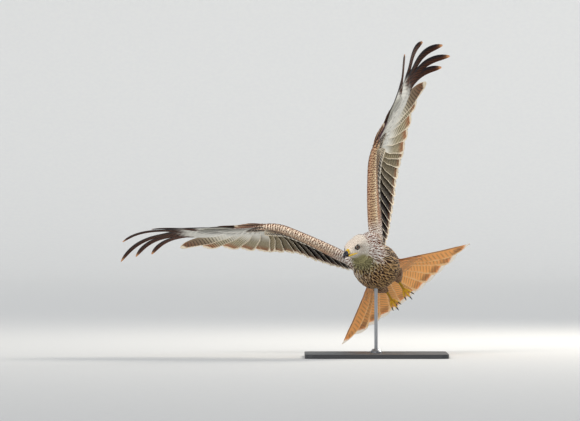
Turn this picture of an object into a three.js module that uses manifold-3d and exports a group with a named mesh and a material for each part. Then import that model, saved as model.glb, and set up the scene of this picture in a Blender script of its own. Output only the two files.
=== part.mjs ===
// A red kite in banking flight, life size, held over a flat display stand by one rod.
// Millimetres, +Z up. The origin is the middle of the stand's underside on the floor.
// The bird is built in a body frame (x to the bill, y to its left, z to its back), then banked.

import * as THREE from 'three';
import { mergeVertices } from 'three/addons/utils/BufferGeometryUtils.js';
import Module from 'manifold-3d';

const wasm = await Module();
wasm.setup();

// Pose, in degrees
const bankRoll = 36.9;
const bankPitch = 21;
const bankYaw = 3.3;
const headTurn = 39;
const headDip = 11;
const headTilt = 9;

// Stand
const baseWidth = 420;
const baseDepth = 340;
const baseThick = 12;
const baseCorner = 24;
const rodRadius = 5;
const rodSunk = 34;
const bellyDrop = 66;
const collarRadius = 17;
const collarHeight = 12;
const bodyAt = { right: 6, away: 16, up: 262 };
const gap = 0.3;

// Body
const torsoFront = 112;
const torsoRear = -116;
const headAt = new THREE.Vector3(148.6, -14.2, 35.6);
const eyeRadius = 7.8;
const eyeAt = new THREE.Vector3(12.5, 19.6, 5);
const billTip = new THREE.Vector3(57, 0, -17.5);
const mouthHeight = -8.6;
const neckRound = 0.66;
const shoulderBulge = { forward: 66, out: 30, up: 48.5, long: 46, wide: 34.5 };

// Wing, in a flat plan: p runs outward along the arm, q runs to the tail, n to the back
const shoulder = { forward: 62, out: 39, up: 42 };
const wristOut = 270;
const wristForward = 88;
const rootLift = 68;
const foreBlend = [195, 275];
const handLineTurn = 16;

// Primaries from the wing tip inward: reach from the wrist, angle behind the wing's line, lift of the tip
const fingerReach = [362, 468, 505, 495, 455, 400, 345, 308, 286, 276];
const alulaLengths = [98, 80, 62];
const sides = {
  left: {
    sign: 1,
    armLift: 50.3,
    handLift: 37,
    hollow: 17,
    fingerAngles: [24.4, 31.2, 34.8, 37.9, 40, 43.8, 49, 56, 63.5, 72.5],
    fingerLifts: [40.7, 29.3, -19.6, -46.5, -35.5, -8.5, 0, 0, 0, 0],
  },
  right: {
    sign: -1,
    armLift: 59.5,
    handLift: 37.6,
    hollow: 28,
    fingerAngles: [6.1, 9.7, 16.5, 23.3, 26.4, 35.3, 43.5, 53, 62.5, 73],
    fingerLifts: [9.2, -16, -59.6, -32.1, -24.5, -0.2, 0, 0, 0, 0],
  },
};

// Tail
const tailRoot = { back: 100, up: 38 };
const tailDroop = 3;
const tailSpread = 39;
const tailInner = 312;
const tailOuter = 392;

// Legs
const tarsusRadius = 3.6;
const toeRadius = 3.3;
const clawLength = 15;

const degree = Math.PI / 180;
const mix = THREE.MathUtils.lerp;
const ease = THREE.MathUtils.smoothstep;
const vec = (x, y, z) => new THREE.Vector3(x, y, z);

// A fixed scattered number between -1 and 1 for each whole number
function chance(seed) {
  const wide = Math.sin(seed * 127.1 + 11.7) * 43758.5453;
  return 2 * (wide - Math.floor(wide)) - 1;
}

// Closed surfaces

// A closed surface of rings: at(turn, along) gives its points, and both ends are single points.
// Alike splits the second half of each ring as the mirror of the first, for thin blades.
function ringed(at, around, stations, alike = false) {
  const positions = [];
  const index = [];
  const last = stations.length - 1;
  const add = (point) => positions.push(point.x, point.y, point.z);
  const ring = (i, j) => 1 + (j - 1) * around + (i % around);
  add(at(0, stations[0]));
  for (let j = 1; j < last; j += 1) {
    for (let i = 0; i < around; i += 1) add(at(i / around, stations[j]));
  }
  add(at(0, stations[last]));
  const tip = positions.length / 3 - 1;
  for (let i = 0; i < around; i += 1) {
    index.push(0, ring(i + 1, 1), ring(i, 1));
    index.push(tip, ring(i, last - 1), ring(i + 1, last - 1));
    for (let j = 1; j < last - 1; j += 1) {
      const a = ring(i, j);
      const b = ring(i + 1, j);
      const c = ring(i + 1, j + 1);
      const d = ring(i, j + 1);
      if (alike && i >= around / 2) index.push(a, b, d, b, c, d);
      else index.push(a, b, c, a, c, d);
    }
  }
  const geometry = new THREE.BufferGeometry();
  geometry.setAttribute('position', new THREE.Float32BufferAttribute(positions, 3));
  geometry.setIndex(index);
  return solidOf(geometry);
}

// Even stations from 0 to 1, closer together towards both ends when eased.
function evenly(count) {
  return Array.from({ length: count + 1 }, (unused, i) => (1 - Math.cos(Math.PI * i / count)) / 2);
}

// A closed geometry as a solid with its faces pointing out.
function solidOf(geometry) {
  const bare = geometry.clone();
  bare.deleteAttribute('normal');
  bare.deleteAttribute('uv');
  const merged = mergeVertices(bare, 1e-4);
  const spots = merged.attributes.position.array;
  const faces = Uint32Array.from(merged.index.array);
  let volume = 0;
  const corner = [vec(0, 0, 0), vec(0, 0, 0), vec(0, 0, 0)];
  for (let i = 0; i < faces.length; i += 3) {
    corner.forEach((spot, k) => spot.fromArray(spots, 3 * faces[i + k]));
    volume += corner[0].dot(corner[1].cross(corner[2]));
  }
  if (volume < 0) {
    for (let i = 0; i < faces.length; i += 3) [faces[i], faces[i + 1]] = [faces[i + 1], faces[i]];
  }
  return new wasm.Manifold(new wasm.Mesh({
    numProp: 3,
    vertProperties: Float32Array.from(spots),
    triVerts: faces,
  }));
}

// One closed body: the largest of what a union or a cut leaves.
function largest(shape) {
  return shape.simplify(0.01).decompose().sort((a, b) => b.volume() - a.volume())[0];
}

function fused(shapes) {
  return wasm.Manifold.union(shapes);
}

function meshOf(name, shape, look) {
  const { numProp, vertProperties, triVerts } = largest(shape).getMesh();
  const positions = [];
  for (let i = 0; i < vertProperties.length; i += numProp) {
    positions.push(vertProperties[i], vertProperties[i + 1], vertProperties[i + 2]);
  }
  const geometry = new THREE.BufferGeometry();
  geometry.setAttribute('position', new THREE.Float32BufferAttribute(positions, 3));
  geometry.setIndex(Array.from(triVerts));
  geometry.computeVertexNormals();
  const [color, roughness, metalness] = look;
  const mesh = new THREE.Mesh(geometry, new THREE.MeshStandardMaterial({ color, roughness, metalness }));
  mesh.name = name;
  return mesh;
}

// Colours, roughness and metalness
const looks = {
  back: [0x6b4a36, 0.9, 0],
  belly: [0x8a6a4a, 0.9, 0],
  pale: [0xcfcac0, 0.9, 0],
  tail: [0xb5653a, 0.85, 0],
  cere: [0xe3b32c, 0.5, 0],
  horn: [0x23262b, 0.35, 0],
  eye: [0x2a1a08, 0.1, 0],
  leg: [0xe0a81e, 0.6, 0],
  steel: [0x55585c, 0.45, 0.9],
  paint: [0x2c2e31, 0.6, 0.2],
};

// The columns of a table, read at a share of the way down it through smooth curves.
function along(rows) {
  const curves = rows[0].map((unused, k) => (
    new THREE.SplineCurve(rows.map((row, i) => new THREE.Vector2(i, row[k])))
  ));
  return (share) => curves.map((curve) => curve.getPoint(share).y);
}

// A body of egg-shaped sections across x. Rows hold x, middle height, half width, rise and fall.
function egg(rows, around, count, grow = 0, squareness = 1) {
  const read = along(rows);
  const first = rows[0];
  const last = rows[rows.length - 1];
  const at = (turn, share) => {
    if (share === 0) return vec(first[0] - Math.sign(last[0] - first[0]) * grow, 0, first[1]);
    if (share === 1) return vec(last[0] + Math.sign(last[0] - first[0]) * grow, 0, last[1]);
    const [x, middle, width, rise, fall] = read(share);
    const angle = turn * 2 * Math.PI;
    const across = Math.sign(Math.cos(angle)) * Math.abs(Math.cos(angle)) ** squareness;
    const above = Math.sign(Math.sin(angle)) * Math.abs(Math.sin(angle)) ** squareness;
    const height = (above > 0 ? rise : fall) + grow;
    return vec(x, (width + grow) * across, middle + height * above);
  };
  return ringed(at, around, Array.from({ length: count + 1 }, (unused, i) => i / count));
}

// A tapering limb round a curve: reach(share) gives its half width and half depth.
function limb(points, reach, around, count, up = vec(0, 0, 1)) {
  const path = new THREE.CatmullRomCurve3(points);
  const at = (turn, share) => {
    const spot = path.getPoint(share);
    if (share === 0 || share === 1) return spot;
    const ahead = path.getTangent(share);
    const side = vec(0, 0, 0).crossVectors(up, ahead).normalize();
    const over = vec(0, 0, 0).crossVectors(ahead, side);
    const [wide, deep] = reach(share);
    const angle = turn * 2 * Math.PI;
    return spot.addScaledVector(side, wide * Math.cos(angle)).addScaledVector(over, deep * Math.sin(angle));
  };
  return ringed(at, around, evenly(count));
}

// Torso, neck and head

function torsoShape(grow) {
  const trunk = egg([
    [torsoRear, 34, 0, 0, 0],
    [-100, 32, 22, 15, 15],
    [-76, 20, 42, 30, 36],
    [-40, 6, 57, 46, 54],
    [0, 0, 66, 56, 61],
    [42, 3, 66, 54, 58],
    [70, 10, 58, 49, 49],
    [90, 18, 48, 44, 42],
    [103, 20, 30, 28, 26],
    [torsoFront, 20, 0, 0, 0],
  ], 16, 13, grow);
  const { forward, out, up, long, wide } = shoulderBulge;
  const radii = [long + grow, wide + grow, wide + grow];
  const mantle = ball(vec(forward - 16, 0, up - 8), radii, 0, 14, 8);
  const shoulders = [1, -1].map((sign) => ball(vec(forward, sign * out, up), radii, 0, 14, 8));
  return fused([trunk, mantle, ...shoulders]);
}

function neckShape(grow) {
  const reach = (share) => {
    const round = Math.sqrt(Math.max(0.02, 1 - (Math.max(share - neckRound, 0) / (1 - neckRound)) ** 2));
    const wide = mix(48, 32, ease(share, 0.35, 1)) * round;
    return [wide + grow, wide * 0.98 + grow];
  };
  const points = [vec(60, 0, 10), vec(90, -2.6, 20), vec(120, -8, 32), vec(144, -13, 36)];
  return limb(points, reach, 14, 8);
}

const headRows = [
  [-45, 1, 0, 0, 0],
  [-38, 2, 19, 18, 18],
  [-26, 2, 28, 27, 27],
  [-12, 1.8, 32, 32.5, 30.5],
  [2, 2, 30.6, 30.8, 28],
  [13, 1.4, 26.6, 27.6, 24],
  [22, -0.4, 20.6, 22.4, 17.8],
  [31, -3.5, 11.2, 12.4, 9.4],
  [37, -5, 0, 0, 0],
];

function headShape(grow) {
  return egg(headRows, 16, 13, grow);
}

// A ball or ellipsoid, turned about z and then placed.
function ball(at, radii, turn = 0, around = 10, high = 8) {
  const geometry = new THREE.SphereGeometry(1, around, high);
  geometry.scale(...radii);
  geometry.rotateZ(turn);
  geometry.translate(at.x, at.y, at.z);
  return solidOf(geometry);
}

function eyeSpot(sign) {
  return vec(eyeAt.x, sign * eyeAt.y, eyeAt.z);
}

// Brow ridges, lids round the eyes, the mouth line and the eyes' sockets
function headSolid() {
  const extras = [];
  const cuts = [];
  for (const sign of [1, -1]) {
    const spot = eyeSpot(sign);
    extras.push(ball(vec(11, sign * 21.4, 12.6), [16.5, 5.2, 4.4], -sign * 0.42, 10, 7));
    const lid = new THREE.TorusGeometry(6.4, 1.6, 5, 14);
    lid.rotateX(Math.PI / 2);
    lid.rotateZ(-sign * 24 * degree);
    lid.translate(spot.x + 1.9, spot.y + sign * 4.7, spot.z);
    extras.push(solidOf(lid));
    cuts.push(ball(spot, [eyeRadius + gap, eyeRadius + gap, eyeRadius + gap], 0, 10, 8));
  }
  const slit = new THREE.BoxGeometry(30, 60, 0.9);
  slit.translate(15, 0, 0);
  slit.rotateY(-6 * degree);
  slit.translate(11, 0, mouthHeight - 1.6);
  cuts.push(solidOf(slit));
  return fused([headShape(0), ...extras]).subtract(fused(cuts));
}

function cereShape(grow) {
  const rows = [
    [18, -2, 0, 0, 0],
    [23, -2, 10.5, 14, 5],
    [30, -2.5, 9.6, 11.2, 5.6],
    [37, -3, 7.8, 8.9, 5.4],
    [41, -3, 6.3, 7.4, 5.3],
    [43, -3, 0, 0, 0],
  ];
  return egg(rows, 14, 7, grow);
}

function upperBillShape(grow) {
  const reach = (share) => {
    const size = 1 - 0.9 * share ** 1.7;
    return [6.0 * size + grow, 6.8 * size + grow];
  };
  return limb([vec(36, 0, -3), vec(46, 0, -3.6), vec(53.6, 0, -7.8), billTip], reach, 12, 9);
}

function lowerBillShape(grow) {
  const reach = (share) => [mix(7, 3, share) + grow, mix(3.4, 1.7, share) + grow];
  return limb([vec(22, 0, -11.6), vec(38, 0, -11.3), vec(49.5, 0, -10.4)], reach, 12, 6);
}

function billSolids() {
  const nostrils = [1, -1].map((sign) => ball(vec(35.5, sign * 8.2, 1.4), [2.2, 2.2, 1.1], 0, 8, 6));
  const cere = cereShape(0).subtract(headShape(gap)).subtract(fused(nostrils));
  const upper = upperBillShape(0).subtract(cereShape(gap)).subtract(headShape(gap));
  const lower = lowerBillShape(0)
    .subtract(headShape(gap))
    .subtract(cereShape(gap))
    .subtract(upperBillShape(gap));
  return { cere, upper, lower };
}

// Wings

// Lift of the wing's line over the level of the back, along the arm and hand.
function liftAt(side, p) {
  const inner = mix(rootLift, side.armLift, ease(p, 0, 70));
  return mix(inner, side.handLift, ease(p, ...foreBlend)) * degree;
}

// Front view of the wing: how far out and up a plan distance p comes.
function archAt(side, p) {
  const step = 5;
  const start = -60;
  const spot = { out: shoulder.out, up: shoulder.up };
  const sweep = (from, to, way) => {
    for (let t = from; way * (to - t) > 1e-9; t += way * step) {
      const length = Math.min(step, Math.abs(to - t));
      const lift = liftAt(side, t + way * length / 2);
      spot.out += way * length * Math.cos(lift);
      spot.up += way * length * Math.sin(lift);
    }
  };
  sweep(0, Math.max(p, start), p < 0 ? -1 : 1);
  return spot;
}

// The wing's cambered plan carried on to the raised wing.
function placer(side) {
  return (p, q, n) => {
    const lift = liftAt(side, p);
    const { out, up } = archAt(side, p);
    const hollow = side.hollow * mix(1, 0.36, ease(p, 120, 330)) * (Math.max(q + 90, 0) / 270) ** 2;
    const rise = n - hollow * (1 - ease(p, 330, 480));
    return vec(
      shoulder.forward - q,
      side.sign * (out - rise * Math.sin(lift)),
      up + rise * Math.cos(lift),
    );
  };
}

// The bone and muscle of the arm: plan point, reach to the front and rear, and half thickness
const armCore = [
  [-16, 20, 44, 84, 11],
  [52, -4, 38, 88, 13],
  [130, -34, 38, 76, 13],
  [215, -60, 25, 60, 12],
  [wristOut - 2, -wristForward + 17, 14, 48, 10],
];

// The same for the hand, by distance from the wrist along its bone
const handCore = [
  [50, 12, 38, 7.5],
  [98, 7, 24, 5.5],
  [128, 0, 0, 0],
];

// A place on the hand, by its distance from the wrist and its angle behind the wing's line
function onHand(reach, angle) {
  return [wristOut + reach * Math.cos(angle * degree), reach * Math.sin(angle * degree) - wristForward];
}

function boneAngle(side) {
  return side.fingerAngles[0] - 1;
}

function onBone(side, reach, behind = 0) {
  const [p, q] = onHand(reach, boneAngle(side));
  return [p, q + behind];
}

function wingCore(side) {
  const place = placer(side);
  const rows = [
    ...armCore,
    ...handCore.map(([reach, ...rest]) => [...onBone(side, reach, 15), ...rest]),
  ];
  const read = along(rows);
  const at = (turn, share) => {
    const [p, q, fore, rear, thick] = read(share);
    if (share === 0 || share === 1) return place(p, q, 0);
    const [beforeP, beforeQ] = read(share - 0.01);
    const [afterP, afterQ] = read(share + 0.01);
    const back = new THREE.Vector2(beforeQ - afterQ, afterP - beforeP).normalize();
    const angle = turn * 2 * Math.PI;
    const run = Math.cos(angle);
    const reach = run > 0 ? -fore * run : -rear * run;
    const rise = thick * (run < 0 ? 1 + 0.55 * run : 1) * Math.sin(angle);
    return place(p + reach * back.x, q + reach * back.y, rise);
  };
  return ringed(at, 12, Array.from({ length: 14 }, (unused, i) => i / 13));
}

// Outlines of feathers: share of the length, then the leading and trailing web in parts of the width
const webs = {
  finger: [
    [0, 0, 0], [0.12, 0.16, 0.2], [0.36, 0.32, 0.6], [0.5, 0.3, 0.58],
    [0.61, 0.17, 0.26], [0.86, 0.16, 0.24], [0.965, 0.1, 0.15], [1, 0, 0],
  ],
  flight: [
    [0, 0, 0], [0.16, 0.2, 0.24], [0.5, 0.4, 0.56], [0.86, 0.42, 0.56], [0.965, 0.28, 0.34], [1, 0, 0],
  ],
  tail: [[0, 0, 0], [0.17, 0.13, 0.17], [0.5, 0.34, 0.5], [0.88, 0.42, 0.58], [0.97, 0.28, 0.4], [1, 0, 0]],
  covert: [[0, 0, 0], [0.34, 0.42, 0.42], [0.8, 0.46, 0.5], [0.95, 0.28, 0.3], [1, 0, 0]],
};

// One feather as a four-sided blade between two plan points, tapered at both ends.
// It rolls like a louvre, bows towards its leading side and lifts towards its tip.
// Slim narrows its leading web alone.
function feather(place, form, web) {
  const { root, tip, width, thick, level, roll, lift = 0, bow = 0, lead = 1, slim = 1 } = form;
  const [rootP, rootQ] = root;
  const axis = new THREE.Vector2(tip[0] - rootP, tip[1] - rootQ);
  const length = axis.length();
  const front = new THREE.Vector2(axis.y, -axis.x).multiplyScalar(lead / length);
  const tilt = Math.sin(roll * degree);
  const at = (turn, share) => {
    const [, leading, trailing] = web.find((row) => row[0] === share);
    const corner = Math.round(turn * 4);
    const across = [leading * slim, 0, -trailing, 0][corner] * width;
    const bulge = bow * 4 * share * (1 - share) * length;
    const free = Math.max(0, (share - 0.4) / 0.6);
    const half = 0.5 * thick * mix(1, 0.5, share) * (share === 0 || share === 1 ? 0 : 1);
    const rise = level + across * tilt + lift * free ** 2 + [0, half, 0, -half][corner];
    return place(
      rootP + axis.x * share + front.x * (across + bulge),
      rootQ + axis.y * share + front.y * (across + bulge),
      rise,
    );
  };
  return ringed(at, 4, web.map((row) => row[0]), true);
}

// Root and tip lines of the arm's flight feathers, from the hand inward to the body
const armRoots = along([
  [wristOut - 6, -wristForward + 20], [190, -46], [120, -20], [60, 0], [24, 12],
]);
const armTips = along([
  [336, 178], [266, 182], [205, 174], [146, 156], [96, 143], [62, 126], [34, 92],
]);

const armFlights = 14;
const handFlights = 10;

function armFlight(share) {
  return { root: armRoots(share), tip: armTips(share) };
}

function handFlight(side, k) {
  const low = Math.min(Math.floor(k), handFlights - 2);
  const part = k - low;
  const reach = mix(fingerReach[low], fingerReach[low + 1], part);
  const angle = mix(side.fingerAngles[low], side.fingerAngles[low + 1], part);
  return { root: onBone(side, mix(104, 8, k / (handFlights - 1)), 10), tip: onHand(reach, angle) };
}

// A covert follows the flight feather at its place, from a little before its root to a share of its length.
function covertOn({ root, tip }, from, to, rest) {
  const part = (share) => [mix(root[0], tip[0], share), mix(root[1], tip[1], share)];
  return { root: part(from), tip: part(to), ...rest };
}

// Above and below the arm: a tier of greater coverts and a tier of median ones
const armTiers = [
  { count: 8, from: -0.03, to: 0.46, level: 5.8, width: 46, thick: 1.7, roll: 4 },
  { count: 6, from: -0.07, to: 0.25, level: 9.6, width: 54, thick: 1.7, roll: 3 },
  { count: 8, from: -0.03, to: 0.5, level: -5.8, width: 46, thick: 1.7, roll: 4 },
  { count: 6, from: -0.07, to: 0.29, level: -9.6, width: 54, thick: 1.7, roll: 3 },
];

const handTiers = [
  { count: 6, from: 0.01, to: 0.3, level: 4.6, width: 34, thick: 1.6, roll: 4 },
  { count: 6, from: 0.01, to: 0.32, level: -4.6, width: 34, thick: 1.6, roll: 4 },
];

function wingSolids(side) {
  const place = placer(side);
  const roll = 7;
  const core = wingCore(side);
  const arm = [core];
  const hand = [core];
  for (let k = 0; k < armFlights; k += 1) {
    const span = armFlight(k / (armFlights - 1));
    const tip = [span.tip[0], span.tip[1] + 3 * chance(k + side.sign)];
    const form = { root: span.root, tip, width: 39, thick: 2.4, level: 0, roll, bow: 0.02 };
    arm.push(feather(place, form, webs.flight));
  }
  for (const { count, from, to, ...rest } of armTiers) {
    for (let k = 0; k < count; k += 1) {
      const share = (k + 0.5) / count;
      const ragged = to + 0.014 * chance(20 * count + k + side.sign);
      arm.push(feather(place, covertOn(armFlight(share), from, ragged, rest), webs.covert));
    }
  }
  for (let k = 0; k < handFlights; k += 1) {
    const finger = k < 6;
    hand.push(feather(place, {
      ...handFlight(side, k),
      width: finger ? 46 : 40,
      thick: 3,
      level: 0,
      roll,
      lift: side.fingerLifts[k],
      bow: 0.035,
    }, finger ? webs.finger : webs.flight));
  }
  for (const { count, from, to, ...rest } of handTiers) {
    for (let k = 0; k < count; k += 1) {
      const flight = handFlight(side, (handFlights - 1) * (k + 0.4) / count);
      hand.push(feather(place, covertOn(flight, from, to, rest), webs.covert));
    }
  }
  for (let k = 0; k < alulaLengths.length; k += 1) {
    const root = onBone(side, 2, 3 + 3 * k);
    const tip = onHand(alulaLengths[k], boneAngle(side) - 5 + 5 * k);
    hand.push(feather(place, { root, tip, width: 20, thick: 2, level: 4.5 + 1.8 * k, roll }, webs.covert));
  }
  return {
    arm: fused(arm).subtract(handBlock(side, gap)).subtract(torsoShape(gap)).subtract(neckShape(gap)),
    hand: fused(hand).intersect(handBlock(side, 0)),
  };
}

// The space outside the line where the arm's feathers meet the hand's, carried on to the raised wing
function handBlock(side, grow) {
  const place = placer(side);
  const length = 520;
  const box = new THREE.BoxGeometry(length, 720, 400, 12, 12, 2);
  box.translate(length / 2 - grow, 0, 0);
  const turn = -handLineTurn * degree;
  const spots = box.attributes.position;
  for (let i = 0; i < spots.count; i += 1) {
    const x = spots.getX(i);
    const y = spots.getY(i);
    const p = wristOut + x * Math.cos(turn) - y * Math.sin(turn);
    const q = x * Math.sin(turn) + y * Math.cos(turn) - wristForward;
    const spot = place(p, q, spots.getZ(i));
    spots.setXYZ(i, spot.x, spot.y, spot.z);
  }
  return solidOf(box);
}

// Tail

// Twelve tail feathers from the middle out, and coverts over and under their roots
const tailPairs = 6;
const tailTiers = [
  { count: 3, from: -0.02, to: 0.42, level: 6.6, width: 48, thick: 1.8, roll: 4 },
  { count: 3, from: -0.02, to: 0.5, level: -8.4, width: 52, thick: 1.8, roll: 4 },
];

// The fleshy root of the tail with its down: x, middle height, half width, rise and fall
const tailBase = [
  [-84, 33, 0, 0, 0],
  [-96, 34, 28, 14, 13],
  [-118, 36, 46, 12, 12],
  [-142, 35, 60, 8, 9],
  [-164, 33, 56, 4, 5],
  [-182, 31, 0, 0, 0],
];

// Plan to body: p to the bird's left, q back from the tail's root, n to its back.
// The middle feathers sag and the outer tips rise.
function tailPlace(p, q, n) {
  const fall = Math.sin(tailDroop * degree) * q;
  const sag = 16 * (q / tailOuter) ** 2 * (1 - 1.5 * (p / 240) ** 2);
  return vec(-tailRoot.back - q, p, tailRoot.up - fall - sag + n);
}

function tailFeather(sign, k) {
  const share = (k + 0.5) / (tailPairs - 0.5);
  const angle = tailSpread * Math.min(share, 1) * degree;
  const length = mix(tailInner, tailOuter, Math.min(share, 1) ** 3);
  const near = 26 - 8 * share;
  return {
    root: [sign * (2 + 8 * share), -near],
    tip: [sign * length * Math.sin(angle), length * Math.cos(angle)],
  };
}

function tailSolid() {
  const pieces = [egg(tailBase, 14, 7)];
  for (const sign of [1, -1]) {
    for (let k = 0; k < tailPairs; k += 1) {
      const middle = k === 0;
      pieces.push(feather(tailPlace, {
        ...tailFeather(sign, k),
        width: 50 + 3 * chance(k + 40 * sign),
        thick: 2.2,
        slim: k === tailPairs - 1 ? 0.4 : 1,
        level: (middle ? 1 : -1.6) - (sign < 0 ? 1.6 : 0),
        roll: middle ? 0 : 6,
        bow: k === tailPairs - 1 ? -0.02 : 0.015,
        lead: sign,
      }, webs.tail));
    }
    for (const { count, from, to, ...rest } of tailTiers) {
      for (let k = 0; k < count; k += 1) {
        const flight = tailFeather(sign, (tailPairs - 1) * (k + 0.25) / count);
        const shape = { ...rest, level: rest.level - (sign < 0 ? 1 : 0), lead: sign };
        pieces.push(feather(tailPlace, covertOn(flight, from, to, shape), webs.covert));
      }
    }
  }
  return fused(pieces).subtract(torsoShape(gap));
}

// Legs

const legs = {
  left: { sign: 1, hip: vec(-22, 31, -28), heel: vec(-52, 22, -58), foot: vec(-66, 20, -78) },
  right: { sign: -1, hip: vec(-22, -31, -28), heel: vec(-52, -22, -58), foot: vec(-66, -28, -79) },
};

function thighShape(leg, grow) {
  const reach = (share) => {
    const wide = mix(27, 6.5, ease(share, 0.05, 1));
    return [wide * 0.8 + grow, wide + grow];
  };
  const middle = leg.hip.clone().lerp(leg.heel, 0.5).add(vec(-4, 0, -4));
  const end = leg.heel.clone().addScaledVector(leg.heel.clone().sub(leg.hip).normalize(), 2 + grow);
  return limb([leg.hip, middle, end], reach, 14, 8, vec(0, 1, 0));
}

// Toe directions: forward, to the bird's outer side, down, and the length of the toe
const toes = [
  [0.42, 0.04, -1, 38],
  [0.3, 0.52, -0.85, 29],
  [0.3, -0.5, -0.85, 28],
  [-0.75, -0.08, -0.75, 23],
];

function toeLine(leg, toe) {
  const [ahead, out, down, length] = toe;
  const start = leg.foot.clone().add(vec(0, 0, -2));
  const way = vec(ahead, leg.sign * out, down).normalize();
  const curl = vec(ahead > 0 ? -0.55 : 0.75, 0, -0.6);
  const mid = start.clone().addScaledVector(way, length * 0.5).add(vec(Math.sign(ahead) * 3.5, 0, 2));
  const end = start.clone().addScaledVector(way, length * 0.85).addScaledVector(curl, length * 0.12);
  const tip = end.clone().addScaledVector(curl.normalize(), clawLength * 0.85)
    .addScaledVector(way, clawLength * 0.35);
  return { start, mid, end, tip };
}

function toeShape(line, grow) {
  const reach = (share) => {
    const wide = toeRadius * mix(1.05, 0.78, share) + 0.35 * Math.cos(share * 6 * Math.PI);
    return [wide + grow, wide + grow];
  };
  const over = line.end.clone().addScaledVector(line.end.clone().sub(line.mid).normalize(), grow);
  return limb([line.start, line.mid, over], reach, 6, 6, vec(0.3, 1, 0.2));
}

function footSolid(leg) {
  const shank = limb(
    [
      leg.heel.clone().lerp(leg.hip, 0.16),
      leg.foot.clone().lerp(leg.heel, 0.3),
      leg.foot.clone().add(vec(-1, 0, -4)),
    ],
    (share) => [tarsusRadius + 1.6 * ease(share, 0.6, 1), tarsusRadius + 1.2 * ease(share, 0.6, 1)],
    10,
    6,
    vec(0, 1, 0),
  );
  const pad = ball(leg.foot.clone().add(vec(0, 0, -3)), [6, 6.4, 5], 0, 10, 8);
  return fused([shank, pad, ...toes.map((toe) => toeShape(toeLine(leg, toe), 0))])
    .subtract(thighShape(leg, gap));
}

function clawSolid(leg, toe) {
  const { mid, end, tip } = toeLine(leg, toe);
  const back = end.clone().lerp(mid, 0.12);
  const bow = end.clone().lerp(tip, 0.55).addScaledVector(end.clone().sub(mid).normalize(), 2.4);
  const reach = (share) => [mix(2.1, 0.35, share), mix(2.5, 0.4, share)];
  return limb([back, bow, tip], reach, 6, 5, vec(0, 1, 0)).subtract(toeShape(toeLine(leg, toe), gap));
}

// The bird, banked over the stand

const bird = new THREE.Group();
bird.position.set(bodyAt.right, bodyAt.away, bodyAt.up);
bird.rotation.set(-bankPitch * degree, -bankRoll * degree, -(90 + bankYaw) * degree, 'YXZ');
bird.updateMatrixWorld(true);

const head = new THREE.Group();
const level = new THREE.Euler(headTilt * degree, headDip * degree, -(90 + headTurn) * degree, 'ZYX');
head.position.copy(headAt);
head.quaternion.setFromEuler(level).premultiply(bird.quaternion.clone().invert());
head.updateMatrix();
bird.add(head);

function rodShape(radius, low, high) {
  const geometry = new THREE.CylinderGeometry(radius, radius, high - low, 24);
  geometry.rotateX(Math.PI / 2);
  geometry.translate(0, 0, (high + low) / 2);
  return geometry;
}

// Height where the rod meets the belly, and where it ends inside the body
const rodTop = bodyAt.up - bellyDrop + rodSunk;

function torsoSolid() {
  const socket = rodShape(rodRadius + gap, baseThick, rodTop + gap);
  socket.applyMatrix4(bird.matrixWorld.clone().invert());
  return torsoShape(0).subtract(solidOf(socket));
}

bird.add(meshOf('torso', torsoSolid(), looks.belly));
const headGap = headShape(gap).transform(head.matrix.elements);
bird.add(meshOf('neck', neckShape(0).subtract(torsoShape(gap)).subtract(headGap), looks.back));
head.add(meshOf('head', headSolid(), looks.pale));
const bill = billSolids();
head.add(meshOf('cere', bill.cere, looks.cere));
head.add(meshOf('bill_upper', bill.upper, looks.horn));
head.add(meshOf('bill_lower', bill.lower, looks.horn));
bird.add(meshOf('tail', tailSolid(), looks.tail));

for (const name of ['left', 'right']) {
  const leg = legs[name];
  const spot = eyeSpot(leg.sign);
  head.add(meshOf(`eye_${name}`, ball(spot, [eyeRadius, eyeRadius, eyeRadius], 0, 10, 8), looks.eye));
  const wing = wingSolids(sides[name]);
  bird.add(meshOf(`wing_${name}_arm`, wing.arm, looks.back));
  bird.add(meshOf(`wing_${name}_hand`, wing.hand, looks.back));
  bird.add(meshOf(`thigh_${name}`, thighShape(leg, 0).subtract(torsoShape(gap)), looks.belly));
  bird.add(meshOf(`foot_${name}`, footSolid(leg), looks.leg));
  toes.forEach((toe, k) => bird.add(meshOf(`claw_${name}_${k + 1}`, clawSolid(leg, toe), looks.horn)));
}

// Stand

function standMeshes() {
  const outline = new THREE.Shape();
  const x = baseWidth / 2 - baseCorner;
  const y = baseDepth / 2 - baseCorner;
  outline.absarc(x, y, baseCorner, 0, Math.PI / 2);
  outline.absarc(-x, y, baseCorner, Math.PI / 2, Math.PI);
  outline.absarc(-x, -y, baseCorner, Math.PI, Math.PI * 1.5);
  outline.absarc(x, -y, baseCorner, Math.PI * 1.5, Math.PI * 2);
  const extrusion = { depth: baseThick, bevelEnabled: false, curveSegments: 6 };
  const plate = new THREE.ExtrudeGeometry(outline, extrusion);
  const bore = rodRadius + gap;
  const low = baseThick + gap;
  const ring = [
    [bore, low],
    [collarRadius, low],
    [collarRadius, low + collarHeight * 0.4],
    [collarRadius * 0.6, low + collarHeight],
    [bore, low + collarHeight],
    [bore, low],
  ].map(([radius, height]) => new THREE.Vector2(radius, height));
  const collar = new THREE.LatheGeometry(ring, 18);
  collar.rotateX(Math.PI / 2);
  return [
    meshOf('stand_base', solidOf(plate), looks.paint),
    meshOf('stand_collar', solidOf(collar), looks.steel),
    meshOf('stand_rod', solidOf(rodShape(rodRadius, low, rodTop)), looks.steel),
  ];
}

const model = new THREE.Group();
model.add(bird, ...standMeshes());

export default model;
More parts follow.
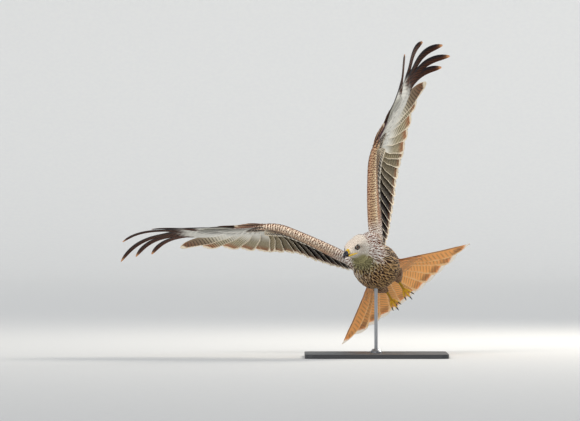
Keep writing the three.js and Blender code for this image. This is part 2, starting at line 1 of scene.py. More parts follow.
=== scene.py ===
# %% [markdown]
# # A red kite in a banking turn, on a display stand
#
# This lesson dresses the solids of a life-size museum model of a red kite. The solids fix the
# outline and the pose. The looks are built here: one skin under the plumage, thousands of small
# body feathers, the long vanes of wings and tail, the horn, the yellow skin, the eyes and the stand.
# Lengths are millimetres in the bird's own frame: x to the bill, y to its left, z to its back.

import bpy
import numpy as np
from mathutils import Matrix, Vector


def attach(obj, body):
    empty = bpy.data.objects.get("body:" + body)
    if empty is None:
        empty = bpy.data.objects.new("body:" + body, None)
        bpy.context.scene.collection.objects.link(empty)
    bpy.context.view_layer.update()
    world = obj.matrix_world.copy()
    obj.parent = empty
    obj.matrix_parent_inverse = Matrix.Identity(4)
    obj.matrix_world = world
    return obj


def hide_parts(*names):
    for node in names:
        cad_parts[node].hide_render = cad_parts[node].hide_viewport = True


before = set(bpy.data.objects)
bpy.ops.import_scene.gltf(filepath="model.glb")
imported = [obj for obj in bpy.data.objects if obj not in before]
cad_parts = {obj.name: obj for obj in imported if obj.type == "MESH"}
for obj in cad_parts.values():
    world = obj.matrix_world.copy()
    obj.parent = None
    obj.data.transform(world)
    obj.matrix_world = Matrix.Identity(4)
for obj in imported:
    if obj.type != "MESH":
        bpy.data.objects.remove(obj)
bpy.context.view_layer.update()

# %% [markdown]
# ## The bird's own frame
#
# The bird is easiest to build level, as a taxidermist would build it on the bench, and to bank at the
# end. Two turning matrices do that: one for the body, and one for the head, which stays nearly level
# while the body rolls. Every piece is turned before it becomes a mesh, so its object stays at the origin.

# %% Turning and placing
MM = 0.001
BODY_AT = np.array([6.0, 16.0, 262.0])
HEAD_AT = np.array([148.6, -14.2, 35.6])
BANK_ROLL, BANK_PITCH, BANK_YAW = 36.9, 21.0, 3.3
HEAD_TURNED, HEAD_DIPPED, HEAD_TILTED = 39.0, 11.0, 9.0
random = np.random.default_rng(58)


def turn(axis, degrees):
    """The 3 by 3 matrix of a turn about one axis."""
    first = "xyz".index(axis)
    second, third = (first + 1) % 3, (first + 2) % 3
    cosine, sine = np.cos(np.radians(degrees)), np.sin(np.radians(degrees))
    matrix = np.eye(3)
    matrix[second, second] = matrix[third, third] = cosine
    matrix[third, second], matrix[second, third] = sine, -sine
    return matrix


BODY_TURN = turn("y", -BANK_ROLL) @ turn("x", -BANK_PITCH) @ turn("z", -90 - BANK_YAW)
HEAD_LEVEL = turn("z", -90 - HEAD_TURNED) @ turn("y", HEAD_DIPPED) @ turn("x", HEAD_TILTED)
HEAD_TURN = BODY_TURN.T @ HEAD_LEVEL


def from_head(points):
    """Head frame to body frame: turned, then moved to the head's place."""
    return np.asarray(points, float) @ HEAD_TURN.T + HEAD_AT


def in_head_axes(points):
    """Body frame to head frame, as three arrays: forward, to the left and up."""
    return np.moveaxis((points - HEAD_AT) @ HEAD_TURN, -1, 0)


def to_room(points):
    """Body frame in millimetres to the room in metres."""
    return (points @ BODY_TURN.T + BODY_AT) * MM


def unit(vectors):
    """Vectors scaled to a length of one."""
    return vectors / np.maximum(np.linalg.norm(vectors, axis=-1, keepdims=True), 1e-9)


def eased(values, low, high):
    """0 below low, 1 above high, and the cubic 3x^2 - 2x^3 between."""
    part = np.clip((values - low) / (high - low), 0, 1)
    return part * part * (3 - 2 * part)


def mixed(first, second, part):
    """First times one less the part, plus second times the part."""
    return first * (1 - part) + second * part


def circle(around):
    """Cosine and sine of a turn, where 1 is once round."""
    return np.cos(2 * np.pi * around), np.sin(2 * np.pi * around)


def ring_angles(count):
    """The angles of evenly spaced points round a ring, as one row."""
    return 2 * np.pi * np.arange(count)[None] / count


def spline(rows):
    """A smooth curve through rows: a cubic per span, with half the step between neighbours as slope."""
    rows = np.asarray(rows, float)

    def at(share):
        place = np.clip(np.asarray(share, float), 0, 1) * (len(rows) - 1)
        low = np.minimum(place.astype(int), len(rows) - 2)
        part = (place - low)[..., None]
        a, b, c, d = (rows[np.clip(low + step, 0, len(rows) - 1)] for step in (-1, 0, 1, 2))
        start, end = (c - a) / 2, (d - b) / 2
        squared = part**2 * (3 * (c - b) - 2 * start - end)
        return b + part * start + squared + part**3 * (2 * (b - c) + start + end)

    return at


# %% [markdown]
# ## Meshes from arrays
#
# A closed piece is a stack of rings with a single point at each end. The rings are one array, and the
# faces that join them are worked out by index, so a feather of some forty faces and a bill of thousands
# go the same way. Writing the arrays with foreach_set is what keeps a coat of thousands of feathers quick.

# %% Closed surfaces
def ring_faces(rings, around):
    """Faces between rings. Vertex 0 is the first pole and the last vertex the other pole."""
    ring = 1 + np.arange(rings * around).reshape(rings, around)
    beside = np.roll(ring, -1, axis=1)
    quads = np.stack([ring[:-1], beside[:-1], beside[1:], ring[1:]], -1).reshape(-1, 4)
    first = np.stack([np.zeros(around, int), beside[0], ring[0]], -1)
    last = np.stack([np.full(around, rings * around + 1), ring[-1], beside[-1]], -1)
    return quads, np.concatenate([first, last])


def volume(points, quads, tris):
    """Signed volume: a sixth of the sum of the corner products of all triangles. Points may be a stack."""
    faces = np.concatenate([quads[:, [0, 1, 2]], quads[:, [0, 2, 3]], tris])
    middle = points.mean(-2, keepdims=True)
    a, b, c = (points[..., faces[:, k], :] - middle for k in range(3))
    return np.einsum("...ij,...ij->...", a, np.cross(b, c)) / 6


def closed(grid):
    """Vertices and faces of a grid (rings, around, 3) whose end rings shrink to their middles."""
    ends = grid[0].mean(0)[None], grid[-1].mean(0)[None]
    points = np.concatenate([ends[0], grid[1:-1].reshape(-1, 3), ends[1]])
    quads, tris = ring_faces(len(grid) - 2, grid.shape[1])
    if volume(points, quads, tris) < 0:
        quads, tris = quads[:, ::-1], tris[:, ::-1]
    return points, quads, tris


def joined(parts):
    """Several (points, quads, tris) as one set of arrays."""
    offsets = np.cumsum([0] + [len(part[0]) for part in parts[:-1]])
    points = np.concatenate([part[0] for part in parts])
    quads = np.concatenate([part[1] + offset for part, offset in zip(parts, offsets)])
    tris = np.concatenate([part[2] + offset for part, offset in zip(parts, offsets)])
    return points, quads, tris


def placed(name, data):
    """A new object in the scene."""
    thing = bpy.data.objects.new(name, data)
    bpy.context.scene.collection.objects.link(thing)
    return thing


def mesh_of(name, points, quads, tris, maps=None, values=None, sharp=None):
    """A mesh object from arrays. Maps are UVs per vertex; values are colours or numbers per vertex."""
    mesh = bpy.data.meshes.new(name)
    mesh.vertices.add(len(points))
    mesh.vertices.foreach_set("co", np.ascontiguousarray(points, np.float32).ravel())
    corners = np.concatenate([quads.ravel(), tris.ravel()]).astype(np.int32)
    sizes = np.concatenate([np.full(len(quads), 4), np.full(len(tris), 3)])
    mesh.loops.add(len(corners))
    mesh.loops.foreach_set("vertex_index", corners)
    mesh.polygons.add(len(sizes))
    starts = np.concatenate([[0], np.cumsum(sizes)[:-1]]).astype(np.int32)
    mesh.polygons.foreach_set("loop_start", starts)
    mesh.update(calc_edges=True)
    mesh.polygons.foreach_set("use_smooth", np.ones(len(sizes), bool))
    for map_name, coordinates in (maps or {}).items():
        layer = mesh.uv_layers.new(name=map_name)
        layer.data.foreach_set("uv", coordinates[corners].astype(np.float32).ravel())
    for value_name, numbers in (values or {}).items():
        if numbers.ndim == 1:
            layer = mesh.attributes.new(value_name, "FLOAT", "POINT")
            layer.data.foreach_set("value", numbers.astype(np.float32))
        else:
            layer = mesh.attributes.new(value_name, "FLOAT_COLOR", "POINT")
            colours = np.concatenate([numbers, np.ones((len(numbers), 1))], 1)
            layer.data.foreach_set("color", colours.astype(np.float32).ravel())
    if sharp:
        mesh.set_sharp_from_angle(angle=np.radians(sharp))
    return placed(name, mesh)


def finish_piece(thing, material, slot, replaced=()):
    """Gives a piece its material and ties it to the frame."""
    thing.data.materials.append(material)
    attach(thing, "root")
    if replaced:
        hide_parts(*replaced)
    faces = len(thing.data.loops) - 2 * len(thing.data.polygons)
    print(f"{thing.name}: {faces} triangles")


def solid_piece(name, solid, material, slot, replaced=(), values=None):
    """A piece from the points, quads and triangles of a closed form in the body's frame."""
    points, quads, tris = solid
    finish_piece(mesh_of(name, to_room(points), quads, tris, values=values), material, slot, replaced)


# %% [markdown]
# ## Colours and shader helpers
#
# Colours are given in screen values, 0 to 255, and turned into linear light. Small helpers keep
# the node building short: one adds a node with its settings, others do arithmetic on sockets, mix,
# read what a mesh carries, and feed the shader.

# %% Colours and node helpers
def colour(red, green, blue):
    """Screen values to linear light, by the standard curve."""
    screen = np.array([red, green, blue]) / 255
    return np.where(screen <= 0.04045, screen / 12.92, ((screen + 0.055) / 1.055) ** 2.4)


MIX_SOCKETS = {"RGBA": (0, 6, 7, 2), "FLOAT": (0, 2, 3, 0)}  # part, first, second and output


def feed(tree, socket, value):
    """Links a socket to an input, or writes a number, a vector or a colour there."""
    if isinstance(value, bpy.types.NodeSocket):
        tree.links.new(value, socket)
    else:
        socket.default_value = (*value, 1) if socket.type == "RGBA" else value


def node(tree, kind, sockets=None, **settings):
    """Adds a node, sets its properties, and fills or links its input sockets."""
    made = tree.nodes.new(kind)
    for name, value in settings.items():
        setattr(made, name, value)
    for name, value in (sockets or {}).items():
        feed(tree, made.inputs[name], value)
    return made


def maths(tree, operation, *values):
    """One arithmetic node, whose inputs are numbers or sockets."""
    return node(tree, "ShaderNodeMath", dict(enumerate(values)), operation=operation).outputs[0]


def ramp(tree, value, low, high):
    """0 at low, 1 at high, smooth between. Low may be the larger."""
    sockets = {"Value": value, "From Min": low, "From Max": high}
    return node(tree, "ShaderNodeMapRange", sockets, interpolation_type="SMOOTHSTEP").outputs[0]


def blended(tree, part, first, second, kind="RGBA"):
    """Mixes two colours or, when kind is FLOAT, two numbers."""
    *inputs, output = MIX_SOCKETS[kind]
    sockets = dict(zip(inputs, (part, first, second)))
    return node(tree, "ShaderNodeMix", sockets, data_type=kind).outputs[output]


def scaled(tree, tint, light):
    """A colour times a number."""
    return node(tree, "ShaderNodeVectorMath", {0: tint, "Scale": light}, operation="SCALE").outputs[0]


def attribute(tree, name, output="Fac"):
    """A number, or with output Color a colour, that the mesh carries."""
    return node(tree, "ShaderNodeAttribute", attribute_name=name).outputs[output]


def room_place(tree):
    """The room's own coordinates, because every object lies at the origin."""
    return node(tree, "ShaderNodeTexCoord").outputs["Object"]


def noise(tree, scale, detail=3.0, vector=None):
    """Noise in the room's own coordinates, or over a given vector."""
    sockets = {"Vector": vector or room_place(tree), "Scale": scale, "Detail": detail}
    return node(tree, "ShaderNodeTexNoise", sockets).outputs["Fac"]


def material_of(name, **constants):
    """A material with its Principled shader, whose plain numbers sit on the shader's own sockets."""
    material = bpy.data.materials.new(name)
    material.use_nodes = True
    shader = material.node_tree.nodes["Principled BSDF"]
    for socket, value in constants.items():
        shader.inputs[socket.replace("_", " ")].default_value = value
    return material, material.node_tree, shader


def coated(tree, shader, tint, height=None, strength=0.0, distance=0.0):
    """Feeds a colour into the shader and, where one is given, a height into its normal."""
    tree.links.new(tint, shader.inputs["Base Color"])
    if height is not None:
        sockets = {"Height": height, "Strength": strength, "Distance": distance}
        tree.links.new(node(tree, "ShaderNodeBump", sockets).outputs[0], shader.inputs["Normal"])


# %% [markdown]
# ## The marks on a feather
#
# Almost every feather of a kite follows one plan: a ground colour, a dark streak along the shaft or dark
# bars across the vane, and a pale rim where the tip wears. The plan is one node group. Its inputs are
# the feather's own UV map, with u across and v from root to tip, and three colours that each feather
# carries as attributes, so that one group paints head, breast, wing and tail.

# %% The feather group
FEATHER_INPUTS = {
    "Vector": ("Vane",), "Color": ("Ground", "Mark", "Rim"),
    "Float": ("Tone", "Streak", "Bars", "Bar depth", "Rim width", "Tip width", "Barbs"),
}
FEATHER_OUTPUTS = {"Color": ("Color",), "Float": ("Height",)}
STREAK_BLUR = 0.08


def streak_mask(tree, given, ragged, along):
    """A streak along the shaft. It narrows to the tip, and its width varies with the feather's tone."""
    narrowing = maths(tree, "MULTIPLY_ADD", along, -0.55, 1.15)
    varied = maths(tree, "MULTIPLY_ADD", given["Tone"], 0.9, 0.55)
    width = maths(tree, "MULTIPLY", maths(tree, "MULTIPLY", given["Streak"], varied), narrowing)
    inner, outer = (maths(tree, "ADD", width, step) for step in (-STREAK_BLUR, STREAK_BLUR))
    there = ramp(tree, given["Streak"], 0.0, 0.05)
    return maths(tree, "MULTIPLY", ramp(tree, ragged, outer, inner), there)


def bar_mask(tree, given, apart, rough, along):
    """Bars across the vane, slanted from the shaft and set off by the feather's tone."""
    slant = maths(tree, "MULTIPLY_ADD", apart, -0.09, along)
    wavy = maths(tree, "MULTIPLY_ADD", rough, 0.05, slant)
    cycle = maths(tree, "FRACT", maths(tree, "MULTIPLY_ADD", wavy, given["Bars"], given["Tone"]))
    bars = maths(tree, "MULTIPLY", ramp(tree, cycle, 0.52, 0.64), ramp(tree, cycle, 1.0, 0.92))
    return maths(tree, "MULTIPLY", bars, given["Bar depth"])


def rim_mask(tree, given, ragged, rough, along):
    """A worn rim along the sides and the tip. On barred feathers the sides' rim grows wide by the tip."""
    barred = ramp(tree, given["Bars"], 0.0, 1.0)
    flight = maths(tree, "MULTIPLY", ramp(tree, along, 0.76, 0.96), barred)
    growing = maths(tree, "MULTIPLY_ADD", flight, 3.0, 1.0)
    wide = maths(tree, "MULTIPLY", given["Rim width"], growing)
    edge, full = maths(tree, "SUBTRACT", 1.0, wide), maths(tree, "MULTIPLY_ADD", wide, -0.4, 1.0)
    beside = maths(tree, "MULTIPLY", ramp(tree, ragged, edge, full), ramp(tree, along, 0.15, 0.5))
    tip_edge = maths(tree, "SUBTRACT", 1.0, given["Tip width"])
    tip_full = maths(tree, "MULTIPLY_ADD", given["Tip width"], -0.5, 1.0)
    past = ramp(tree, maths(tree, "MULTIPLY_ADD", rough, 0.1, along), tip_edge, tip_full)
    return maths(tree, "MAXIMUM", beside, past)


def feather_group():
    """Ground, then streak, then bars, then rim, each mixed in by its own mask. Height is fine barbs."""
    tree = bpy.data.node_groups.new("feather_marks", "ShaderNodeTree")
    for way, sockets in (("INPUT", FEATHER_INPUTS), ("OUTPUT", FEATHER_OUTPUTS)):
        for kind, names in sockets.items():
            for name in names:
                tree.interface.new_socket(name, in_out=way, socket_type=f"NodeSocket{kind}")
    given = tree.nodes.new("NodeGroupInput").outputs
    out = tree.nodes.new("NodeGroupOutput").inputs

    split = node(tree, "ShaderNodeSeparateXYZ", {"Vector": given["Vane"]}).outputs
    along = split["Y"]
    apart = maths(tree, "ABSOLUTE", maths(tree, "MULTIPLY_ADD", split["X"], 2.0, -1.0))
    rough = maths(tree, "MULTIPLY_ADD", noise(tree, 420.0), 0.5, -0.25)
    ragged = maths(tree, "ADD", apart, rough)

    light = maths(tree, "MULTIPLY_ADD", given["Tone"], 0.4, 0.8)
    painted = scaled(tree, given["Ground"], light)
    for mask, layer in ((streak_mask(tree, given, ragged, along), "Mark"),
                        (bar_mask(tree, given, apart, rough, along), "Mark"),
                        (rim_mask(tree, given, ragged, rough, along), "Rim")):
        painted = blended(tree, mask, painted, given[layer])
    tree.links.new(painted, out["Color"])

    comb = maths(tree, "MULTIPLY_ADD", apart, -0.35, along)
    barbs = maths(tree, "SINE", maths(tree, "MULTIPLY", comb, given["Barbs"]))
    shaft = ramp(tree, apart, 0.09, 0.0)
    tree.links.new(maths(tree, "ADD", maths(tree, "MULTIPLY", barbs, 0.35), shaft), out["Height"])
    return tree


FEATHER_MARKS = feather_group()


def plumage(name, streak=0.0, bars=0.0, bar_depth=0.0, rim=0.15, tip=0.08, barbs=60.0,
            roughness=0.75, sheen=0.1):
    """A feather material: the group, fed by the piece's own map and attributes."""
    material, tree, shader = material_of(
        name, Roughness=roughness, Sheen_Weight=sheen, Sheen_Roughness=0.5, Specular_IOR_Level=0.15)
    sockets = {"Vane": node(tree, "ShaderNodeUVMap", uv_map="Vane").outputs[0],
               "Tone": attribute(tree, "tone"), "Streak": streak, "Bars": bars, "Bar depth": bar_depth,
               "Rim width": rim, "Tip width": tip, "Barbs": barbs}
    for layer in FEATHER_INPUTS["Color"]:
        sockets[layer] = attribute(tree, layer.lower(), "Color")
    marks = node(tree, "ShaderNodeGroup", sockets, node_tree=FEATHER_MARKS).outputs
    coated(tree, shader, marks["Color"], marks["Height"], 0.35, 0.0006)
    return material


print("feather group has", len(FEATHER_MARKS.nodes), "nodes")

# %% [markdown]
# ## A feather as a closed blade
#
# A real vane is a sheet stiffened by its shaft. Here it is a closed lens: a ring of points runs over the
# top from the trailing edge to the leading one and back underneath, and the rings follow the feather from
# root to tip. All feathers of a tract are computed at once, as arrays of (feather, point). Each feather
# is first flat, with a length, a sideways place and a height for each point, and then laid on the bird.

# %% Blades
def blade(shares, sides):
    """The points of one blade: share from root to tip, side from -1 to 1, and face, 1 over, -1 under."""
    sides = np.asarray(sides, float)
    around = np.concatenate([sides, sides[-2:0:-1]])
    face = np.concatenate([[0], np.ones(len(sides) - 2), [0], -np.ones(len(sides) - 2)])
    inner = np.asarray(shares, float)[1:-1]
    share = np.concatenate([[0], np.repeat(inner, len(around)), [1]])
    side = np.concatenate([[0], np.tile(around, len(inner)), [0]])
    face = np.concatenate([[0], np.tile(face, len(inner)), [0]])
    quads, tris = ring_faces(len(inner), len(around))
    return {"share": share, "side": side, "face": face, "quads": quads, "tris": tris}


def outline(web, share):
    """Smooth widths of the leading and trailing webs at each share, from a short table of the web. A web
    that is still wide in its last row ends as half an ellipse from the row before it."""
    table = np.asarray(web, float)
    knots = table[:, 0]
    fine = np.linspace(0, 1, 200)
    widths = []
    for column in (1, 2):
        straight = np.interp(fine, knots, table[:, column])
        padded = np.concatenate([np.full(5, straight[0]), straight, np.full(5, straight[-1])])
        soft = np.convolve(padded, np.ones(11) / 11, "valid")
        start = knots[-2] if table[-1, column] > 0.1 else 0.97
        soft = soft * np.sqrt(np.clip(1 - np.clip((fine - start) / (1 - start), 0, 1) ** 2, 0.0004, 1))
        widths.append(np.interp(share, fine, soft))
    return widths


def flat_feathers(shape, web, length, width, thick=0.5, cup=0.08, bow=0.0, sag=0.0, ridge=0.0, ragged=0.0):
    """Flat feathers as arrays (feather, point): distance along, distance across and height. Across is
    side times the web's width, bowed by share less its fifth power, as a sabre is. Height is half the
    thickness times the face, less the cup times side squared, less the sag times share squared."""
    share, side, face = shape["share"], shape["side"], shape["face"]
    length, width = np.asarray(length, float)[:, None], np.asarray(width, float)[:, None]
    lead, trail = outline(web, share)
    reach = np.where(side > 0, lead, trail) * width
    reach = reach * (1 + ragged * random.uniform(-1, 1, reach.shape) * (np.abs(side) > 0.9))
    across = side * reach + bow * 1.87 * (share - share**5) * length
    along = share * length + 0 * width
    body = np.sqrt(np.clip(1 - side**2, 0, 1)) * (1 - 0.55 * share) * (share > 0) * (share < 1)
    shaft = ridge * np.exp(-((side / 0.12) ** 2)) * (1 - share) ** 0.7
    height = face * body * (thick / 2 + shaft) - cup * side**2 * width - sag * share**2 * length
    return along, across, height


FREE_FROM, ARCH_HEIGHT = 0.35, 2.4


def lay_on_plan(place, root, tip, flat, level=0.0, roll=0.0, lift=0.0, lead=1.0, arch=0.0, twist=0.0):
    """Lays flat feathers between plan points, rolled like louvres. Beyond its first third a feather is
    free: it lifts by the square of the free share, arches by its power 1.5 less its fifth, and twists by
    its roll."""
    along, across, height = flat
    root, tip = np.asarray(root, float), np.asarray(tip, float)
    axis = unit(tip - root)[:, None, :]
    front = np.stack([axis[..., 1], -axis[..., 0]], -1) * np.broadcast_to(lead, len(root))[:, None, None]
    spot = root[:, None, :] + axis * along[..., None] + front * across[..., None]
    share = along / np.maximum(along.max(1, keepdims=True), 1e-9)
    free = np.clip((share - FREE_FROM) / (1 - FREE_FROM), 0, 1)
    level, lift = (np.broadcast_to(value, len(root))[:, None] for value in (level, lift))
    rise = level + height + across * np.sin(np.radians(roll + twist * free)) + lift * free**2
    rise = rise + ARCH_HEIGHT * arch * along.max(1, keepdims=True) * (free**1.5 - free**5)
    return place(spot[..., 0], spot[..., 1], rise)


def lay_on_skin(surface, share, around, heading, flat, slope=0.09, base=0.0):
    """Drapes flat feathers over a surface from their roots. Heading 0 runs with the surface's share and
    90 degrees with its turn. Distances become steps of share and turn by the surface's own stretch."""
    along, across, height = flat
    step = 0.002
    share, around = share[:, None], around[:, None]
    here = surface(share, around)
    further = surface(share + step, around) - surface(share - step, around)
    stretch_s = np.linalg.norm(further, axis=-1) / (2 * step)
    stretch_t = np.linalg.norm(surface(share, around + step) - here, axis=-1) / step
    cosine, sine = np.cos(heading)[:, None], np.sin(heading)[:, None]
    s = share + (cosine * along - sine * across) / np.maximum(stretch_s, 1.0)
    t = around + (sine * along + cosine * across) / np.maximum(stretch_t, 8.0)
    return surface(s, t, base + slope * along + height)


def feather_piece(name, shape, points, material, slot, colours, home, patch=0.003, replaced=()):
    """One mesh of many feathers. Home is each root's place on the skin's unwrap, and patch the size of
    the feather's own patch there. Colours are ground, mark and rim, per feather or per point."""
    count, each = points.shape[:2]
    offset = (np.arange(count) * each)[:, None, None]
    inside_out = (volume(points, shape["quads"], shape["tris"]) < 0)[:, None, None]
    quads, tris = shape["quads"][None] + offset, shape["tris"][None] + offset
    quads = np.where(inside_out, quads[..., ::-1], quads).reshape(-1, 4)
    tris = np.where(inside_out, tris[..., ::-1], tris).reshape(-1, 3)
    room = to_room(points.reshape(-1, 3))
    vane = np.stack([0.5 + 0.5 * shape["side"], shape["share"]], -1)
    size = np.broadcast_to(np.asarray(patch, float), (2,))
    bake = np.asarray(home, float)[:, None, :] + (vane[None] - 0.5) * size
    values = {"tone": np.repeat(random.uniform(0, 1, count), each)}
    for value_name, numbers in zip(("ground", "mark", "rim"), colours):
        numbers = np.asarray(numbers, float)
        while numbers.ndim < 3:
            numbers = numbers[:, None, :] if numbers.ndim == 2 else numbers[None, :]
        values[value_name] = np.broadcast_to(numbers, (count, each, 3)).reshape(-1, 3)
    maps = {"Vane": np.tile(vane, (count, 1)), "OFBake": bake.reshape(-1, 2)}
    thing = mesh_of(name, room, quads, tris, maps, values, sharp=60)
    finish_piece(thing, material, slot, replaced)


# %% [markdown]
# ## Body, neck and head as one form
#
# The solids part the bird where a person would name its parts. On the real bird feathers run over those
# lines without a seam, so the skin here is one loft from the tail to the bill. Each row of the table is a
# section: its middle, how far it has turned from the body's axis to the head's, its half width, and how
# far it rises and falls. The head's rows are given in the head's own frame and carried over.

# %% The body loft
BODY_ROWS = [
    [-118, 0, 34.5, 0, 1, 1, 1],
    [-98, 0, 32, 0, 23, 15, 15],
    [-76, 0, 20, 0, 42, 30, 36],
    [-40, 0, 6, 0, 57, 46, 54],
    [0, 0, 0, 0, 66, 55, 61],
    [42, 0, 3, 0, 66, 54, 58],
    [68, -1, 10, 0, 58, 49, 49],
    [88, -2.5, 19, 0.05, 50, 46, 45],
    [106, -4.5, 28, 0.2, 45, 45, 42.5],
    [122, -8.5, 33, 0.5, 38, 40, 38],
]
HEAD_ROWS = [
    [-15, 1.6, 32.5, 33, 31],
    [0, 2, 31, 31, 28.5],
    [11, 1.6, 27.6, 28.6, 24.8],
    [20, 0.2, 22.4, 24, 19.4],
    [28, -2.4, 14, 15.4, 12],
    [35, -4.4, 6, 7, 6],
    [38, -5, 1, 1, 1],
]
HUMPS = [[66, 30, 48.5, 46, 34.5], [66, -30, 48.5, 46, 34.5], [50, 0, 40.5, 46, 34.5], [112, 8, 48, 34, 30]]
HUMP_BLEND = 4  # how softly a hump leaves its section
section_rows = list(BODY_ROWS)
for forward, middle, wide, above, below in HEAD_ROWS:
    section_rows.append([*from_head([forward, 0, middle]), 1, wide, above, below])
sections = spline(section_rows)
section_count = len(section_rows)


def over_humps(middle, spot, height):
    """Pushes a section out over the shoulders and the mantle. A hump is a circle in the section's plane;
    the way from the middle leaves it at b + sqrt(b^2 - c), and that is blended with the section's own
    reach a as a + k log(1 + exp((t - a) / k))."""
    way, reach = unit(spot - middle), np.linalg.norm(spot - middle, axis=-1)
    for *at, long, wide in HUMPS:
        away = np.array(at) - middle
        radius = (wide + height) * np.sqrt(np.clip(1 - (away[..., 0] / long) ** 2, 0, 1))
        toward = np.sum(away[..., 1:] * way[..., 1:], -1)
        inside = toward**2 - np.sum(away[..., 1:] ** 2, -1) + radius**2
        leaves = np.where((inside > 0) & (radius > 0), toward + np.sqrt(np.maximum(inside, 0)), 0)
        past = np.clip((leaves - reach) / HUMP_BLEND, -30, 30)
        reach = reach + HUMP_BLEND * np.log1p(np.exp(past))
    return middle + way * reach[..., None]


def body_at(share, around, height=0.0):
    """A point of the loft: turn 0 is the bird's left side and a quarter turn its back. The section's
    plane turns from the body's axis to the head's, and height pushes the point out from its middle."""
    row = sections(share)
    tilt = row[..., 3:4]
    ahead = unit((1 - tilt) * np.array([1.0, 0, 0]) + tilt * HEAD_TURN[:, 0])
    up = (1 - tilt) * np.array([0, 0, 1.0]) + tilt * HEAD_TURN[:, 2]
    up = unit(up - ahead * np.sum(up * ahead, -1, keepdims=True))
    left = np.cross(up, ahead)
    across, above = circle(around)
    tall = np.where(above > 0, row[..., 5], row[..., 6]) + height
    wide = row[..., 4] + height
    spot = row[..., :3] + left * (wide * across)[..., None] + up * (tall * above)[..., None]
    spot = over_humps(row[..., :3], spot, height)
    forward, side, rise = in_head_axes(spot)
    beside = np.abs(side)
    brow = 4.2 * np.exp(-(((forward - 11) / 12) ** 2) - ((rise - 12.6) / 4) ** 2 - ((beside - 21) / 6) ** 2)
    socket = 3.4 * np.exp(-(((forward - 13.5) ** 2 + (rise - 5) ** 2) / 40) - ((beside - 23) / 8) ** 2)
    push = brow - socket
    return spot + left * (push * across)[..., None] + up * (push * above)[..., None]


def share_of(section):
    """Where along the loft a numbered section lies."""
    return section / (section_count - 1)


def evened(surface, shares=100, fine=240):
    """The same surface with its turn measured by length round each ring, so that feathers keep their
    size: for each ring the turn is read off where the running length reaches the asked part of the whole."""
    share, turned = np.linspace(0, 1, shares)[:, None], np.linspace(0, 1, fine)[None]
    ring = surface(share + 0 * turned, turned + 0 * share)
    run = np.cumsum(np.linalg.norm(np.diff(ring, axis=1), axis=-1), axis=1)
    run = np.concatenate([np.zeros((shares, 1)), run], 1) / np.maximum(run[:, -1:], 1e-9)
    table = np.stack([np.interp(turned[0], part, turned[0]) for part in run])

    def at(share, around, height=0.0):
        whole = np.floor(around)
        row, column = np.clip(share, 0, 1) * (shares - 1), (around - whole) * (fine - 1)
        low, left = np.minimum(row.astype(int), shares - 2), np.minimum(column.astype(int), fine - 2)
        down, right = row - low, column - left
        above = table[low, left] * (1 - right) + table[low, left + 1] * right
        below = table[low + 1, left] * (1 - right) + table[low + 1, left + 1] * right
        return surface(share, whole + above * (1 - down) + below * down, height)

    return at


body_even = evened(body_at)
print("body loft has", section_count, "sections")

# %% [markdown]
# ## The wings as a bent plan
#
# A wing is drawn flat, with p running out from the shoulder, q towards the tail and n up. A second
# function then raises and arches that plan: the arm climbs steeply and the hand bends at the wrist, each
# side by its own angles, and the rear of the wing is hollowed. Feathers drawn on the plan bend with it.

# %% The wing plan
SHOULDER = {"forward": 62.0, "out": 39.0, "up": 42.0}
WRIST_OUT, WRIST_FORWARD, ROOT_LIFT = 270.0, 88.0, 68.0
FORE_BLEND = (195.0, 275.0)
PLAN_REACH = (-80.0, 860.0)
HOLLOW_FROM, HOLLOW_CHORD = 90, 270  # the hollow starts this far ahead of q = 0 and is full after this chord
HOLLOW_BY_WRIST = 0.36
FINGER_REACH = np.array([362, 468, 505, 495, 455, 400, 345, 308, 286, 276.0])
SIDES = {
    "left": {
        "sign": 1, "arm_lift": 50.3, "hand_lift": 37.0, "hollow": 17.0, "twist": 8.0,
        "angles": np.array([24.4, 31.2, 34.8, 37.9, 40, 43.8, 49, 56, 63.5, 72.5]),
        "lifts": np.array([40.7, 29.3, -19.6, -46.5, -35.5, -8.5, 0, 0, 0, 0]),
    },
    "right": {
        "sign": -1, "arm_lift": 59.5, "hand_lift": 37.6, "hollow": 28.0, "twist": -14.0,
        "angles": np.array([6.1, 9.7, 16.5, 23.3, 26.4, 35.3, 43.5, 53, 62.5, 73]),
        "lifts": np.array([9.2, -16, -59.6, -32.1, -24.5, -0.2, 0, 0, 0, 0]),
    },
}


def wing_place(side):
    """Plan to body frame. The front view is the running sum of steps turned by the lift at each p."""
    steps = np.arange(*PLAN_REACH, 1.0)
    lifts = side["arm_lift"] + (ROOT_LIFT - side["arm_lift"]) * (1 - eased(steps, 0, 70))
    lifts = np.radians(lifts + (side["hand_lift"] - lifts) * eased(steps, *FORE_BLEND))
    out, up = np.cumsum(np.cos(lifts)), np.cumsum(np.sin(lifts))
    out += SHOULDER["out"] - np.interp(0, steps, out)
    up += SHOULDER["up"] - np.interp(0, steps, up)

    def place(p, q, n):
        lift = np.interp(p, steps, lifts)
        flat_out = 1 + (HOLLOW_BY_WRIST - 1) * eased(p, 120, 330)
        hollow = side["hollow"] * flat_out * (np.maximum(q + HOLLOW_FROM, 0) / HOLLOW_CHORD) ** 2
        rise = n - hollow * (1 - eased(p, 330, 480))
        sideways = np.interp(p, steps, out) - rise * np.sin(lift)
        upward = np.interp(p, steps, up) + rise * np.cos(lift)
        return np.stack([SHOULDER["forward"] - q, side["sign"] * sideways, upward], -1)

    return place


ARM_CORE = [
    [-16, 20, 44, 84, 11], [52, -4, 38, 88, 13], [130, -34, 38, 76, 13],
    [215, -60, 25, 60, 12], [WRIST_OUT - 2, 17 - WRIST_FORWARD, 14, 48, 10],
]
HAND_CORE = [[50, 12, 38, 7.5], [98, 7, 24, 5.5], [128, 2, 6, 3]]


